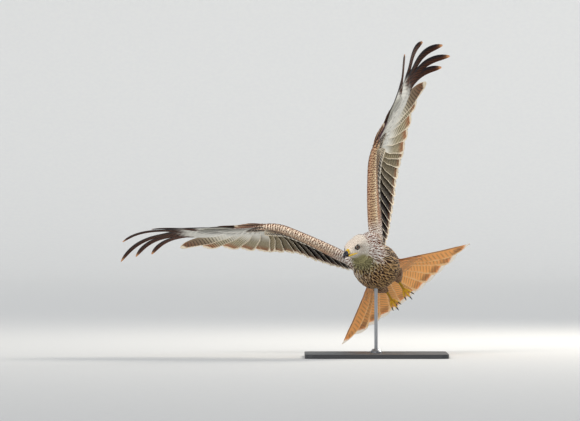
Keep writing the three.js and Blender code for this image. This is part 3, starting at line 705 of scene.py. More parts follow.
def on_hand(reach, angle):
    """A plan point by its distance from the wrist and its angle behind the wing's line."""
    turned = np.radians(angle)
    return np.stack([WRIST_OUT + reach * np.cos(turned), reach * np.sin(turned) - WRIST_FORWARD], -1)


def on_bone(side, reach, behind=0.0):
    """A plan point along the bone of the hand."""
    return on_hand(reach, side["angles"][0] - 1.0 + 0 * np.asarray(reach, float)) + np.array([0, behind])


def core_of(side):
    """The wing's flesh and down as a surface: turn 0 is the leading edge, then over the top to the rear
    and back underneath. Half thickness falls towards the rear."""
    rows = list(ARM_CORE)
    for reach, *rest in HAND_CORE:
        rows.append([*on_bone(side, reach, 15.0), *rest])
    read, place = spline(rows), wing_place(side)

    def at(share, around, height=0.0):
        row = read(share)
        before, after = read(np.clip(share - 0.01, 0, 1)), read(np.clip(share + 0.01, 0, 1))
        back = unit(np.stack([before[..., 1] - after[..., 1], after[..., 0] - before[..., 0]], -1))
        run, rise = circle(around)
        reach = np.where(run > 0, -(row[..., 2] + height) * run, -row[..., 3] * run)
        thick = (row[..., 4] + height) * np.where(run < 0, 1 + 0.55 * run, 1) * rise
        return place(row[..., 0] + reach * back[..., 0], row[..., 1] + reach * back[..., 1], thick)

    return at


for side in SIDES.values():
    side["place"], side["core"] = wing_place(side), evened(core_of(side))
print("wing tips at", [np.round(to_room(side["place"](*on_hand(505, 35), 0)), 2) for side in SIDES.values()])

# %% [markdown]
# ## The skin under the coat
#
# Gaps between feathers show what lies beneath, so the coat needs a floor in the same colours. The loft,
# the two wings' flesh, the thighs and the tail's root are made a little slimmer than the solids, joined by
# a voxel remesh, which leaves one closed skin without a seam, and smoothed. A union of the shapes by
# Boolean would keep sharp creases; the remesh rounds them, as flesh does.

# %% Thighs and the tail's root
LEGS = {
    "left": {"sign": 1, "hip": [-22, 31, -28], "heel": [-52, 22, -58], "foot": [-66, 20, -78]},
    "right": {"sign": -1, "hip": [-22, -31, -28], "heel": [-52, -22, -58], "foot": [-66, -28, -79]},
}
for leg in LEGS.values():
    for key in ("hip", "heel", "foot"):
        leg[key] = np.array(leg[key], float)


def limb(points, reach, up):
    """A rounded limb round a smooth path: reach gives half width and half depth at each share."""
    path = spline(points)

    def at(share, around, height=0.0):
        share = np.asarray(share, float)
        spot = path(share)
        ahead = unit(path(np.clip(share + 0.01, 0, 1)) - path(np.clip(share - 0.01, 0, 1)))
        beside = unit(np.cross(np.asarray(up, float), ahead))
        over = np.cross(ahead, beside)
        wide, deep = reach(share)
        across, above = circle(around)
        step_wide = ((wide + height) * across)[..., None]
        return spot + beside * step_wide + over * ((deep + height) * above)[..., None]

    return at


def domed(share, start, stop):
    """Rounds a limb's ends: a quarter ellipse over the first and the last part of its length."""
    first = np.clip(1 - share / start, 0, 1) if start else 0 * share
    last = np.clip(1 - (1 - share) / stop, 0, 1) if stop else 0 * share
    return np.sqrt(np.clip((1 - first**2) * (1 - last**2), 0, 1))


def thigh_of(leg):
    """The feathered thigh, thick at the hip and narrow where the yellow leg comes out."""
    middle = (leg["hip"] + leg["heel"]) / 2 + np.array([-4, 0, -4])
    end = leg["heel"] + unit(leg["heel"] - leg["hip"]) * 2

    def reach(share):
        wide = 27 + (6.5 - 27) * eased(share, 0.05, 1)
        return wide * 0.8 * domed(share, 0.2, 0.08), wide * domed(share, 0.2, 0.08)

    return limb([leg["hip"], middle, end], reach, (0, 1, 0))


TAIL_ROOT = {"back": 100.0, "up": 38.0}
TAIL_DROOP, TAIL_SPREAD, TAIL_INNER, TAIL_OUTER, TAIL_PAIRS = 3.0, 39.0, 312.0, 392.0, 6
TAIL_BASE_ROWS = [
    [-84, 33, 1, 1, 1], [-96, 34, 28, 14, 13], [-118, 36, 46, 12, 12],
    [-142, 35, 60, 8, 9], [-164, 33, 56, 4, 5], [-182, 31, 1, 1, 1],
]


def egg_rows(rows):
    """Egg-shaped sections across x, from rows of forward, middle height, half width, rise and fall."""
    read = spline(rows)

    def at(share, around, height=0.0):
        row = read(share)
        across, above = circle(around)
        wide = (row[..., 2] + height) * across
        tall = np.where(above > 0, row[..., 3], row[..., 4]) + height
        return np.stack([row[..., 0] + 0 * across, wide, row[..., 1] + tall * above], -1)

    return at


def grid_of(surface, rings, around, height=0.0):
    """Samples a surface on a grid whose end rings become poles."""
    share = np.linspace(0, 1, rings)[:, None]
    return closed(surface(share, np.arange(around)[None] / around + 0 * share, height))


for leg in LEGS.values():
    leg["thigh"] = evened(thigh_of(leg), 40, 80)

# %% Ground colours of the plumage
CROWN = colour(244, 230, 214)
CHEEK = colour(214, 208, 196)
THROAT = colour(164, 156, 112)
# Painted shade round the eyes, as the brow and the socket would cast it
EYE_PAINTED_SHADE = colour(40, 34, 26)
NECK_PALE = colour(238, 232, 224)
NECK_DARK = colour(104, 54, 28)
BREAST = colour(188, 150, 100)
BREAST_DARK = colour(50, 30, 18)
BELLY = colour(158, 112, 64)
BACK = colour(92, 58, 38)
BACK_RIM = colour(168, 126, 92)
RUFOUS = colour(196, 110, 52)
LINING = colour(204, 162, 126)
LINING_DARK = colour(112, 66, 40)
UPPER_BROWN = colour(66, 47, 36)
UPPER_RIM = colour(120, 92, 70)
TRAILING_RIM = colour(255, 240, 214)
BLACKISH = colour(38, 29, 26)
CREAM = colour(250, 230, 200)
WHITE = colour(236, 234, 226)

# Stops along the loft, as (section, colour)
BELOW = [(0, RUFOUS), (2, BELLY), (4, BREAST), (7.4, BREAST), (8.8, THROAT), (11.4, THROAT), (13.4, CHEEK)]
FLANK = [(0, RUFOUS), (3, BELLY), (5, colour(180, 136, 92)), (6.6, colour(206, 178, 142)),
         (7.8, NECK_PALE), (9.5, NECK_PALE), (11, CHEEK)]
ABOVE = [(0, RUFOUS), (2, BACK), (5, BACK), (7, colour(170, 130, 100)), (8.5, NECK_PALE), (10, CROWN),
         (14, CROWN)]
MARKS = [(0, BREAST_DARK), (6.5, BREAST_DARK), (7.5, NECK_DARK), (9.5, NECK_DARK),
         (10.5, colour(136, 100, 74))]
RIMS = [(0, RUFOUS), (3, colour(206, 164, 112)), (6, colour(214, 180, 132)), (7.5, NECK_PALE),
        (10, CHEEK), (14, CROWN)]


def banded(place, stops):
    """Colour by straight mixing between stops of (place, colour)."""
    places = [stop for stop, _ in stops]
    return np.stack([np.interp(place, places, [tint[k] for _, tint in stops]) for k in range(3)], -1)


def paint_along(share, stops):
    """Colour along the loft, from stops of (section, colour)."""
    return banded(share, [(share_of(section), tint) for section, tint in stops])


# The second number is how far the painted shade round the eyes darkens at its middle.
NECK_TWIST, EYE_PAINTED_SHADE_DEPTH = np.radians(38), 0.95


def looks_up(share, around):
    """How far a place looks up, from -1 to 1: the sine of its turn. The neck's markings turn with the
    head."""
    return np.sin(2 * np.pi * around + NECK_TWIST * eased(share, share_of(6.2), share_of(9.2)))


def body_colours(share, around, spots):
    """Ground, mark and rim colours at places of the loft. The back, the flanks and the underside mix by
    how far a place looks up, and a dark painted shade surrounds the eyes, where the brow and the socket
    would shade them."""
    rise = looks_up(share, around)
    toward_neck = eased(share, share_of(5), share_of(7))
    above = eased(rise, 0.25, 0.8)[..., None]
    below = (1 - eased(rise, -0.7 - 0.1 * toward_neck, -0.1 - 0.4 * toward_neck))[..., None]
    ground = paint_along(share, FLANK) * (1 - above - below)
    ground = ground + above * paint_along(share, ABOVE) + below * paint_along(share, BELOW)
    forward, side, height = in_head_axes(spots)
    # Painted shade round each eye, centred a little ahead of it, where the brow and the socket would shade
    # it.
    shade = np.exp(-(((forward - 13.5) / 10) ** 2) - ((height - 4.2) / 5.4) ** 2) * (np.abs(side) > 10)
    shade = EYE_PAINTED_SHADE_DEPTH * shade[..., None]
    olive = eased(share, share_of(7.8), share_of(9.8))[..., None]
    rim = paint_along(share, RIMS)
    rim = rim + below * olive * eased(share, share_of(13), share_of(11))[..., None] * (THROAT * 1.15 - rim)
    mark = mixed(paint_along(share, MARKS), mixed(BREAST_DARK, THROAT * 0.45, olive), below)
    return mixed(ground, EYE_PAINTED_SHADE, shade), mark, mixed(rim, EYE_PAINTED_SHADE, shade)


# %% Remeshed forms
def largest_piece(points, quads, tris):
    """The largest connected piece of a surface. Each point takes the lowest number among the corners of its
    faces, over and over, until nothing changes."""
    piece, before = np.arange(len(points)), None
    while before is None or (piece != before).any():
        before = piece.copy()
        for faces in (quads, tris):
            lowest = piece[faces].min(1)
            for corner in faces.T:
                np.minimum.at(piece, corner, lowest)
        piece = piece[piece]
    kept = piece == np.bincount(piece).argmax()
    number = np.cumsum(kept) - 1
    return points[kept], number[quads[kept[quads[:, 0]]]], number[tris[kept[tris[:, 0]]]]


def remeshed(name, parts, voxel, smoothing):
    """Closed parts joined into one closed mesh by a voxel remesh, then smoothed. The remesh can leave specks
    at thin tips, so only its largest piece is returned, as points and faces."""
    forms = mesh_of(name, *joined(parts))
    remesh = forms.modifiers.new("Remesh", "REMESH")
    remesh.mode, remesh.voxel_size = "VOXEL", voxel
    smooth = forms.modifiers.new("Smooth", "SMOOTH")
    smooth.iterations, smooth.factor = smoothing, 0.5
    mesh = bpy.data.meshes.new_from_object(forms.evaluated_get(bpy.context.evaluated_depsgraph_get()))
    bpy.data.objects.remove(forms)
    points = np.empty(3 * len(mesh.vertices))
    mesh.vertices.foreach_get("co", points)
    corners = np.empty(len(mesh.loops), np.int32)
    mesh.loops.foreach_get("vertex_index", corners)
    sizes = np.empty(len(mesh.polygons), np.int32)
    mesh.polygons.foreach_get("loop_total", sizes)
    starts = np.cumsum(sizes) - sizes
    quads = corners[starts[sizes == 4][:, None] + np.arange(4)]
    tris = corners[starts[sizes == 3][:, None] + np.arange(3)].reshape(-1, 3)
    return largest_piece(points.reshape(-1, 3), quads, tris)


# %% One skin
BODY_SLIMMER, TAIL_SLIMMER, LIMB_SLIMMER = 4.5, 2.5, 3.0
SKIN_VOXEL, SKIN_SMOOTHING = 3.0, 6
WING_BEYOND = 84  # further than this from the loft's middle the skin belongs to a wing


def make_skin():
    """Joins the slimmer forms, remeshes them as one and colours each point by the form it lies in."""
    parts = [grid_of(body_at, 90, 48, -BODY_SLIMMER)]
    parts.append(grid_of(egg_rows(TAIL_BASE_ROWS), 30, 24, -TAIL_SLIMMER))
    parts += [grid_of(side["core"], 60, 28, -LIMB_SLIMMER) for side in SIDES.values()]
    parts += [grid_of(leg["thigh"], 24, 20, -LIMB_SLIMMER) for leg in LEGS.values()]
    points, quads, tris = remeshed("skin_forms", parts, SKIN_VOXEL, SKIN_SMOOTHING)
    middles = np.array(section_rows)
    section = np.interp(points[:, 0], middles[:, 0], np.arange(len(middles))) / (len(middles) - 1)
    middle = sections(section)
    turned = np.arctan2(points[:, 2] - middle[:, 2], points[:, 1] - middle[:, 1]) / (2 * np.pi)
    ground = body_colours(section, turned, points)[0] * 0.6
    wing = np.linalg.norm(points[:, 1:] - middle[:, 1:3], axis=1) > WING_BEYOND
    ground = np.where(wing[:, None], LINING * 0.5, ground)
    return mesh_of("skin", to_room(points), quads, tris, values={"ground": ground})


def skin_material():
    """Down and skin: the region's colour, mottled, with a soft felted bump."""
    material, tree, shader = material_of("down", Roughness=0.9, Sheen_Weight=0.3)
    mottle = maths(tree, "MULTIPLY_ADD", noise(tree, 160.0), 0.8, 0.55)
    tinted = scaled(tree, attribute(tree, "ground", "Color"), mottle)
    coated(tree, shader, tinted, noise(tree, 700.0, 5.0), 0.6, 0.001)
    return material


finish_piece(make_skin(), skin_material(), "plumage_belly",
             ("torso", "neck", "head", "thigh_left", "thigh_right"))

# %% [markdown]
# ## The body coat
#
# Contour feathers grow in staggered rows and lie towards the tail. Each row is one girth of the loft,
# divided by the feathers' own spacing, and each next row is set off by half a step. Head feathers are a
# few millimetres long and the belly's about thirty, and the neck's are narrow and pointed. Feathers that
# would come near the eyes are left out.

# %% Rows of roots
FINE_RING, COARSE_RING, ROW_PROBE = 120, 24, 0.004


def rows_of_roots(surface, start, stop, row_gap, gap, arc=(0.0, 1.0)):
    """Roots in rows from start to stop. Both gaps are functions of share, in millimetres."""
    shares, turns, share, odd = [], [], start, 0
    fine, coarse = np.linspace(*arc, FINE_RING), np.linspace(*arc, COARSE_RING)
    way = np.sign(stop - start)
    while way * (stop - share) > 0:
        ring = surface(np.full(FINE_RING, share), fine)
        girth = np.linalg.norm(np.diff(ring, axis=0), axis=1)
        run = np.concatenate([[0], np.cumsum(girth)])
        count = max(int(run[-1] / gap(share)), 3)
        places = (np.arange(count) + 0.25 + 0.5 * odd) / count * run[-1]
        turns.append(np.interp(places, run, fine))
        shares.append(np.full(count, share))
        here = surface(np.full(COARSE_RING, share), coarse)
        step = surface(np.full(COARSE_RING, share + way * ROW_PROBE), coarse)
        stretch = np.linalg.norm(step - here, axis=1).mean() / ROW_PROBE
        share += way * row_gap(share) / stretch
        odd = 1 - odd
    shares, turns = np.concatenate(shares), np.concatenate(turns)
    shares = shares + random.normal(0, 0.12, len(shares)) * row_gap(shares) / 500
    return shares, turns


# A web is a table of share, width of the leading side and width of the trailing side.
CONTOUR = [[0, 0, 0], [0.1, 0.35, 0.35], [0.35, 0.85, 0.85], [0.6, 1, 1], [0.82, 0.86, 0.86],
           [0.94, 0.5, 0.5], [1, 0.1, 0.1]]
POINTED = [[0, 0, 0], [0.15, 0.6, 0.6], [0.45, 1, 1], [0.75, 0.66, 0.66], [0.92, 0.26, 0.26],
           [1, 0.03, 0.03]]
SMALL_BLADE = blade([0, 0.12, 0.32, 0.55, 0.75, 0.9, 0.97, 1], [-1, -0.45, 0.45, 1])
SMALL_THICK, DOWNY_BARBS = 0.35, 40.0


def keep_clear(points, spots, radius):
    """True for feathers whose points all stay outside a radius round each spot."""
    clear = np.ones(len(points), bool)
    for spot in spots:
        clear &= np.linalg.norm(points - spot, axis=-1).min(1) > radius
    return clear


def size_table(stops):
    """A size along the loft from stops of (section, millimetres)."""
    places, sizes = [share_of(section) for section, _ in stops], [size for _, size in stops]
    return lambda share: np.interp(share, places, sizes)


SIGNS = {"left": 1, "right": -1}
EYE_RADIUS, CLEAR_OF_EYE = 7.2, 8.0
EYE_AT = np.array([12.5, 19.6, 5.0])
eye_spots = [from_head(EYE_AT * [1, sign, 1]) for sign in SIGNS.values()]
feather_length = size_table([(0, 28), (2, 33), (5, 31), (7, 27), (8.3, 25), (9.4, 19), (10.5, 12.5),
                             (11.3, 8.5), (12, 6.5), (16, 3.6)])
feather_gap = size_table([(0, 6.4), (2, 6.8), (5, 6.4), (7, 6.2), (8.3, 6), (9.4, 5.2), (10.5, 3.6),
                          (12, 2.7), (16, 1.8)])
row_ratio = size_table([(0, 1.9), (7, 1.9), (8.3, 1.7), (9.4, 1.3), (10.5, 1), (16, 0.95)])
coat_depth = size_table([(0, 3.5), (5, 3.5), (8, 3), (11, 2.2), (16, 1.6)])
COAT_ZONES = {
    "head": {"streak": 0.2, "rim": 0.2, "tip": 0.2, "slot": "plumage_head"},
    "neck": {"streak": 0.5, "rim": 0.16, "tip": 0.06, "slot": "plumage_neck"},
    "below": {"streak": 0.6, "rim": 0.14, "tip": 0.03, "slot": "plumage_belly"},
    "above": {"streak": 0.45, "rim": 0.16, "tip": 0.1, "slot": "plumage_neck"},
}


def body_coat():
    """Lays the contour feathers from bill to tail in four zones, each with its own streak and rim."""
    share, around = rows_of_roots(
        body_even, share_of(15.2), share_of(0.5), lambda s: feather_gap(s) * row_ratio(s), feather_gap)
    length = feather_length(share) * random.uniform(0.88, 1.14, len(share))
    spots = body_even(share, around)
    middle = sections(share)[:, :3]
    lean = unit(spots - middle)
    angle = np.arctan2(lean[:, 2], lean[:, 1]) / (2 * np.pi)
    ground, mark, rim = body_colours(share, angle, spots)
    rise = looks_up(share, angle)
    nape = (share > share_of(6.6)) & (share < share_of(10)) & (rise > -0.6)
    trunk = np.where(rise > 0.45, "above", "below")
    zone = np.where(share > share_of(10), "head", np.where(nape, "neck", trunk))
    width = feather_gap(share) * np.where(nape, 0.98, 1.1) * random.uniform(0.88, 1.12, len(share))
    heading = np.pi + random.normal(0, np.where(nape, 0.2, 0.13))
    for name, look in COAT_ZONES.items():
        mine = zone == name
        web = POINTED if name == "neck" else CONTOUR
        flat = flat_feathers(SMALL_BLADE, web, length[mine], width[mine],
                             thick=SMALL_THICK, cup=0.1, sag=-0.02, ragged=0.06)
        base = (-coat_depth(share[mine]))[:, None]
        points = lay_on_skin(body_even, share[mine], around[mine], heading[mine], flat, 0.13, base)
        good = keep_clear(points, eye_spots, CLEAR_OF_EYE)
        colours = [tint[mine][good] for tint in (ground, mark, rim)]
        home = np.stack([around[mine][good], share[mine][good]], -1)
        marks = {key: look[key] for key in ("streak", "rim", "tip")}
        material = plumage(f"plumage_{name}", barbs=DOWNY_BARBS, **marks)
        feather_piece(f"coat_{name}", SMALL_BLADE, points[good], material, look["slot"], colours, home)


body_coat()
THIGH_WIDTH, THIGH_ROW_GAP, THIGH_GAP = 5.4, 5.5, 5.6


def thigh_coat(name, leg):
    """The trousers: long, soft feathers that hang from the hip over the heel."""
    surface = leg["thigh"]
    share, around = rows_of_roots(surface, 0.16, 0.9, lambda s: THIGH_ROW_GAP, lambda s: THIGH_GAP)
    length = 17 + (10 - 17) * share
    flat = flat_feathers(SMALL_BLADE, CONTOUR, length, THIGH_WIDTH + 0 * share,
                         thick=SMALL_THICK, cup=0.1, ragged=0.08)
    heading = random.normal(0, 0.12, len(share))
    points = lay_on_skin(surface, share, around, heading, flat, slope=0.1, base=-2.2)
    colours = (colour(166, 134, 104), colour(84, 52, 34), colour(196, 166, 134))
    home = np.stack([around, share], -1)
    feather_piece(f"coat_thigh_{name}", SMALL_BLADE, points, THIGH_LOOK, "plumage_belly", colours, home)


THIGH_LOOK = plumage("plumage_thigh", streak=0.4, rim=0.2, barbs=DOWNY_BARBS)
for leg_name, leg in LEGS.items():
    thigh_coat(leg_name, leg)

# %% [markdown]
# ## Flight feathers
#
# The long feathers carry the outline, so they keep to that of the solids, with a finer blade: a smooth
# web, a raised shaft and an emarginated tip on the outer primaries. From below the five fingers are dark
# with white bases, and the inner primaries are buff and barred, with worn orange-brown ends. The
# secondaries run from buff at the wrist to blackish by the body. Trailing edges have pale rims, and the
# upper faces are brown.

# %% Webs and roots on the wing
FINGER = [[0, 0, 0], [0.12, 0.16, 0.2], [0.36, 0.32, 0.6], [0.5, 0.3, 0.58], [0.61, 0.18, 0.28],
          [0.86, 0.18, 0.26], [0.93, 0.17, 0.23], [1, 0.13, 0.16]]
WEDGE = [[0, 0, 0], [0.12, 0.16, 0.2], [0.4, 0.34, 0.66], [0.7, 0.32, 0.84], [0.86, 0.24, 0.62],
         [0.95, 0.15, 0.38], [1, 0.11, 0.2]]
FLIGHT = [[0, 0, 0], [0.16, 0.2, 0.24], [0.5, 0.4, 0.6], [0.84, 0.43, 0.61], [0.9, 0.42, 0.58],
          [1, 0.36, 0.48]]
RECTRIX_ROOT = [[0, 0, 0], [0.17, 0.13, 0.17], [0.5, 0.34, 0.5]]
RECTRIX = [*RECTRIX_ROOT, [0.86, 0.43, 0.59], [0.92, 0.42, 0.57], [1, 0.36, 0.5]]
OUTER_RECTRIX = [*RECTRIX_ROOT, [0.8, 0.4, 0.52], [0.93, 0.22, 0.3], [1, 0.03, 0.03]]
COVERT = [[0, 0, 0], [0.2, 0.34, 0.34], [0.5, 0.48, 0.5], [0.8, 0.46, 0.5], [1, 0.42, 0.45]]
LONG_SHARES = np.concatenate([[0, 0.02], np.linspace(0.06, 0.9, 28), [0.93, 0.955, 0.975, 0.989, 0.997, 1]])
LONG_BLADE = blade(LONG_SHARES, [-1, -0.96, -0.7, -0.4, -0.12, 0, 0.12, 0.45, 0.96, 1])
MIDDLE_SHARES = [0, 0.06, 0.2, 0.36, 0.52, 0.68, 0.8, 0.89, 0.95, 0.985, 0.997, 1]
MIDDLE_BLADE = blade(MIDDLE_SHARES, [-1, -0.5, 0, 0.5, 1])
ALONG, WEB_SIDE = (LONG_BLADE[key][None, :, None] for key in ("share", "side"))
OVER = (LONG_BLADE["face"] > 0)[None, :, None]

arm_roots = spline([[WRIST_OUT - 6, 20 - WRIST_FORWARD], [190, -46], [120, -20], [60, 0], [24, 12]])
arm_tips = spline([[336, 178], [266, 182], [205, 174], [146, 156], [96, 143], [62, 126], [34, 92]])
ARM_FLIGHTS, HAND_FLIGHTS = 13, 10


def arm_flight(part):
    """Root and tip of a secondary by its part of the arm. Roots crowd towards the wrist, so that the
    feathers of the middle lie straight back."""
    part = np.asarray(part, float)
    return arm_roots(part**2), arm_tips(part)


def hand_flight(side, number):
    """Root and tip of a primary by its number from the wing tip, whole or between two."""
    whole = np.arange(HAND_FLIGHTS)
    number = np.asarray(number, float)
    reach = np.interp(number, whole, FINGER_REACH)
    angle = np.interp(number, whole, side["angles"])
    root = on_bone(side, 104 + (8 - 104) * number / (HAND_FLIGHTS - 1), 10.0)
    return root, on_hand(reach, angle)


STRIP_MARGIN = 0.02


def strips(count):
    """Side by side patches for long feathers on their bake map: middles and size."""
    pitch = (1 - 2 * STRIP_MARGIN) / count
    middles = STRIP_MARGIN + pitch * (np.arange(count) + 0.5)
    return np.stack([middles, np.full(count, 0.5)], -1), np.array([pitch * 0.9, 0.94])


PRIMARY_LOOK = plumage("plumage_primary", bars=23.0, bar_depth=0.85, rim=0.085, tip=0.07, barbs=900.0,
                       sheen=0.0, roughness=0.6)
SECONDARY_LOOK = plumage("plumage_secondary", bars=15.0, bar_depth=0.8, rim=0.09, tip=0.075, barbs=700.0,
                         sheen=0.0, roughness=0.6)
COVERT_LOOK = plumage("plumage_covert", streak=0.3, rim=0.12, tip=0.15, barbs=120.0, roughness=0.7)
FINGERS = 5
FINGER_ARCHES = np.array([0.012, 0.035, 0.046, 0.046, 0.04])
PRIMARY_WIDTHS = np.array([32, 46, 52, 52, 50, 50, 50, 54, 54, 50.0])
SECONDARY_WIDTH, SECONDARY_UNEVEN = 46.0, 2.5


def spans(root, tip):
    """The length of each feather from root to tip."""
    return np.linalg.norm(tip - root, axis=1)


def brown_above(ground, mark, rim):
    """The same colours with the brown of the upper side on the faces that look up."""
    return [np.where(OVER, top, under) for top, under in
            ((UPPER_BROWN, ground), (UPPER_BROWN * 0.55, mark), (UPPER_RIM, rim))]


# %% Primaries
def primary_blades(side):
    """The primaries on the wing: free fingers with narrowed ends, one wedge and the broad inner ones."""
    number = np.arange(HAND_FLIGHTS)
    root, tip = hand_flight(side, number)
    sets = []
    for mine, web, bow, roll, arch, twist in (
        (number < FINGERS, FINGER, 0.045, 10.0, FINGER_ARCHES[:, None], side["twist"]),
        (number == FINGERS, WEDGE, 0.03, 7.0, 0.01, 0.0),
        (number > FINGERS, FLIGHT, 0.03, 7.0, 0.0, 0.0),
    ):
        flat = flat_feathers(LONG_BLADE, web, spans(root, tip)[mine], PRIMARY_WIDTHS[mine],
                             thick=1.1, cup=0.04, bow=bow, ridge=0.9)
        sets.append(lay_on_plan(side["place"], root[mine], tip[mine], flat, 0.0, roll,
                                side["lifts"][mine], arch=arch, twist=twist))
    return np.concatenate(sets)


def primary_colours():
    """Ground, mark and rim at each point of each primary. Dark runs from the tip to its own share on each
    finger and along the leading web of the outer two. Inner ones go from white by buff to worn brown."""
    number = np.arange(HAND_FLIGHTS)[:, None, None]
    finger = number < FINGERS
    dark_from = np.interp(number, [0, 1, 4, 5, 9], [0.42, 0.46, 0.5, 1.3, 1.3])
    leading = eased(WEB_SIDE, 0.0, 0.4) * np.interp(number, [0, 1, 2], [0.95, 0.5, 0])
    dark = np.maximum(eased(ALONG, dark_from - 0.04, dark_from + 0.06), leading * eased(ALONG, 0.1, 0.3))
    base = mixed(WHITE, colour(182, 168, 130), eased(ALONG, 0.3, 0.7) * np.where(finger, 0.1, 0.9))
    base = mixed(base, colour(176, 108, 58), eased(ALONG, 0.74, 0.93) * np.where(finger, 0, 0.9))
    base = mixed(base, colour(96, 58, 36), (number == FINGERS) * eased(ALONG, 0.5, 0.75) * 0.7)
    ink = mixed(colour(40, 30, 36), colour(84, 48, 30), eased(WEB_SIDE, 0.15, -0.25))
    ground = mixed(base, ink, dark)
    barred = eased(ALONG, 0.4, 0.62) * (0.35 + 0.65 * eased(WEB_SIDE, 0.3, -0.1)) * (1 - dark)
    mark = ground * (1 - barred - dark) + colour(74, 58, 42) * barred + colour(22, 16, 15) * dark
    worn = mixed(ground, colour(232, 172, 124), eased(ALONG, 0.97, 0.99))
    return brown_above(ground, mark, np.where(finger, worn, TRAILING_RIM))


def primaries(name, side):
    """The primaries of one wing, which stand for its hand."""
    feather_piece(f"primaries_{name}", LONG_BLADE, primary_blades(side), PRIMARY_LOOK, "plumage_wing",
                  primary_colours(), *strips(HAND_FLIGHTS), (f"wing_{name}_hand",))


# %% Secondaries
def secondaries(name, side):
    """The secondaries of one wing, which stand for its arm: buff by the wrist and blackish inside."""
    part = np.arange(ARM_FLIGHTS) / (ARM_FLIGHTS - 1)
    root, tip = arm_flight(part)
    tip[:, 1] += random.uniform(-SECONDARY_UNEVEN, SECONDARY_UNEVEN, ARM_FLIGHTS)
    flat = flat_feathers(LONG_BLADE, FLIGHT, spans(root, tip), np.full(ARM_FLIGHTS, SECONDARY_WIDTH),
                         thick=1.0, cup=0.05, bow=0.02, ridge=0.8)
    points = lay_on_plan(side["place"], root, tip, flat, 0.0, 7.0)
    outer = np.interp(part, [0, 0.2, 0.5], [1.0, 0.45, 0.0])[:, None, None]
    ground = mixed(colour(36, 25, 20), colour(176, 160, 124), outer)
    ground = mixed(ground, colour(172, 106, 56), eased(ALONG, 0.8, 0.95) * (0.5 + 0.35 * outer))
    mark = mixed(colour(24, 18, 15), colour(66, 52, 38), outer)
    feather_piece(f"secondaries_{name}", LONG_BLADE, points, SECONDARY_LOOK, "plumage_wing",
                  brown_above(ground, mark, TRAILING_RIM), *strips(ARM_FLIGHTS), (f"wing_{name}_arm",))


for side_name, side in SIDES.items():
    primaries(side_name, side)
    secondaries(side_name, side)

# %% [markdown]
# ## Wing coverts
#
# Above and below, tiers of coverts step up from the flight feathers to the leading edge. The greater and
# median tiers follow the flight feathers beneath them. The lesser ones are small scales draped over the
# flesh of arm and hand, with their lie turned outward beyond the wrist.

# %% Tiers of coverts
TIERS = [
    {"tier": "greater", "face": 1, "from": -0.02, "to": (0.47, 0.31), "level": 4.6, "width": 27.0},
    {"tier": "median", "face": 1, "from": -0.05, "to": (0.27, 0.18), "level": 7.6, "width": 24.0},
    {"tier": "greater", "face": -1, "from": -0.02, "to": (0.33, 0.34), "level": -4.6, "width": 27.0},
    {"tier": "median", "face": -1, "from": -0.05, "to": (0.155, 0.17), "level": -7.6, "width": 24.0},
]
TIER_COLOURS = {
    ("greater", 1): (BACK, BLACKISH, BACK_RIM), ("median", 1): (BACK_RIM * 0.7, BACK, BACK_RIM),
    ("greater", -1): (colour(64, 52, 44), BLACKISH, colour(248, 238, 220)),
    ("median", -1): (colour(104, 82, 64), BLACKISH, colour(176, 146, 112)),
}
PATCH_COLOURS = (WHITE * 0.97, WHITE * 0.72, WHITE)
WRIST_COLOURS = (colour(158, 146, 124), colour(84, 66, 50), TRAILING_RIM)
COMMA_COLOURS = (colour(74, 58, 46), BLACKISH, colour(206, 196, 178))
ARM_COVERTS, HAND_COVERTS, ALULA = 23, 13, 3


def covert_tiers(name, side):
    """Greater and median coverts over and under the arm and hand of one wing, and its alula. Below the
    hand they are white like the patch that they lie on, but for dark commas by the wrist."""
    points, stores, home = [], ([], [], []), []
    arm_part = (np.arange(ARM_COVERTS) + 0.5) / ARM_COVERTS
    hand_number = (HAND_FLIGHTS - 1) * (np.arange(HAND_COVERTS) + 0.4) / HAND_COVERTS
    by_wrist = (hand_number > 6.2)[:, None]
    for tier in TIERS:
        pairs = ((arm_flight(arm_part), tier["to"][0]), (hand_flight(side, hand_number), tier["to"][1]))
        for (root, tip), reach in pairs:
            reach = reach + random.uniform(-0.012, 0.012, len(root))
            start = root + (tip - root) * tier["from"]
            end = root + (tip - root) * reach[:, None]
            flat = flat_feathers(MIDDLE_BLADE, COVERT, spans(start, end), np.full(len(root), tier["width"]),
                                 thick=0.7, cup=0.05, ridge=0.3, ragged=0.03)
            on_arm = len(root) == len(arm_part)
            level = tier["level"] * (0.9 if on_arm else 0.7)
            points.append(lay_on_plan(side["place"], start, end, flat, level, 5.0 * tier["face"]))
            tints = TIER_COLOURS[tier["tier"], tier["face"]]
            if tier["face"] < 0 and on_arm:
                pale = eased(arm_part, 0.32, 0.0)[:, None]
                tints = [mixed(tint, fair, pale) for tint, fair in zip(tints, WRIST_COLOURS)]
            if tier["face"] < 0 and not on_arm:
                comma = by_wrist & (tier["tier"] == "median")
                tints = [np.where(comma, dark, pale) for dark, pale in zip(COMMA_COLOURS, PATCH_COLOURS)]
            for store, tint in zip(stores, tints):
                store.append(np.broadcast_to(tint, (len(root), 3)))
            home.append(np.stack([0.5 + start[:, 0] / 900, 0.5 + tier["face"] * 0.2 + start[:, 1] / 900], -1))
    start = on_bone(side, np.array([2, 8, 14]), 2.0)
    end = on_bone(side, np.array([96, 78, 60]), -2.0)
    flat = flat_feathers(MIDDLE_BLADE, COVERT, spans(start, end), np.full(ALULA, 17.0), thick=0.8)
    points.append(lay_on_plan(side["place"], start, end, flat, np.array([2.5, 4.0, 5.5]), 12.0))
    for store, tint in zip(stores, (colour(190, 150, 122), BLACKISH, CREAM)):
        store.append(np.broadcast_to(tint, (ALULA, 3)))
    home.append(np.stack([np.full(ALULA, 0.9), [0.8, 0.85, 0.9]], -1))
    feather_piece(f"coverts_{name}", MIDDLE_BLADE, np.concatenate(points), COVERT_LOOK, "plumage_wing",
                  [np.concatenate(store) for store in stores], np.concatenate(home))


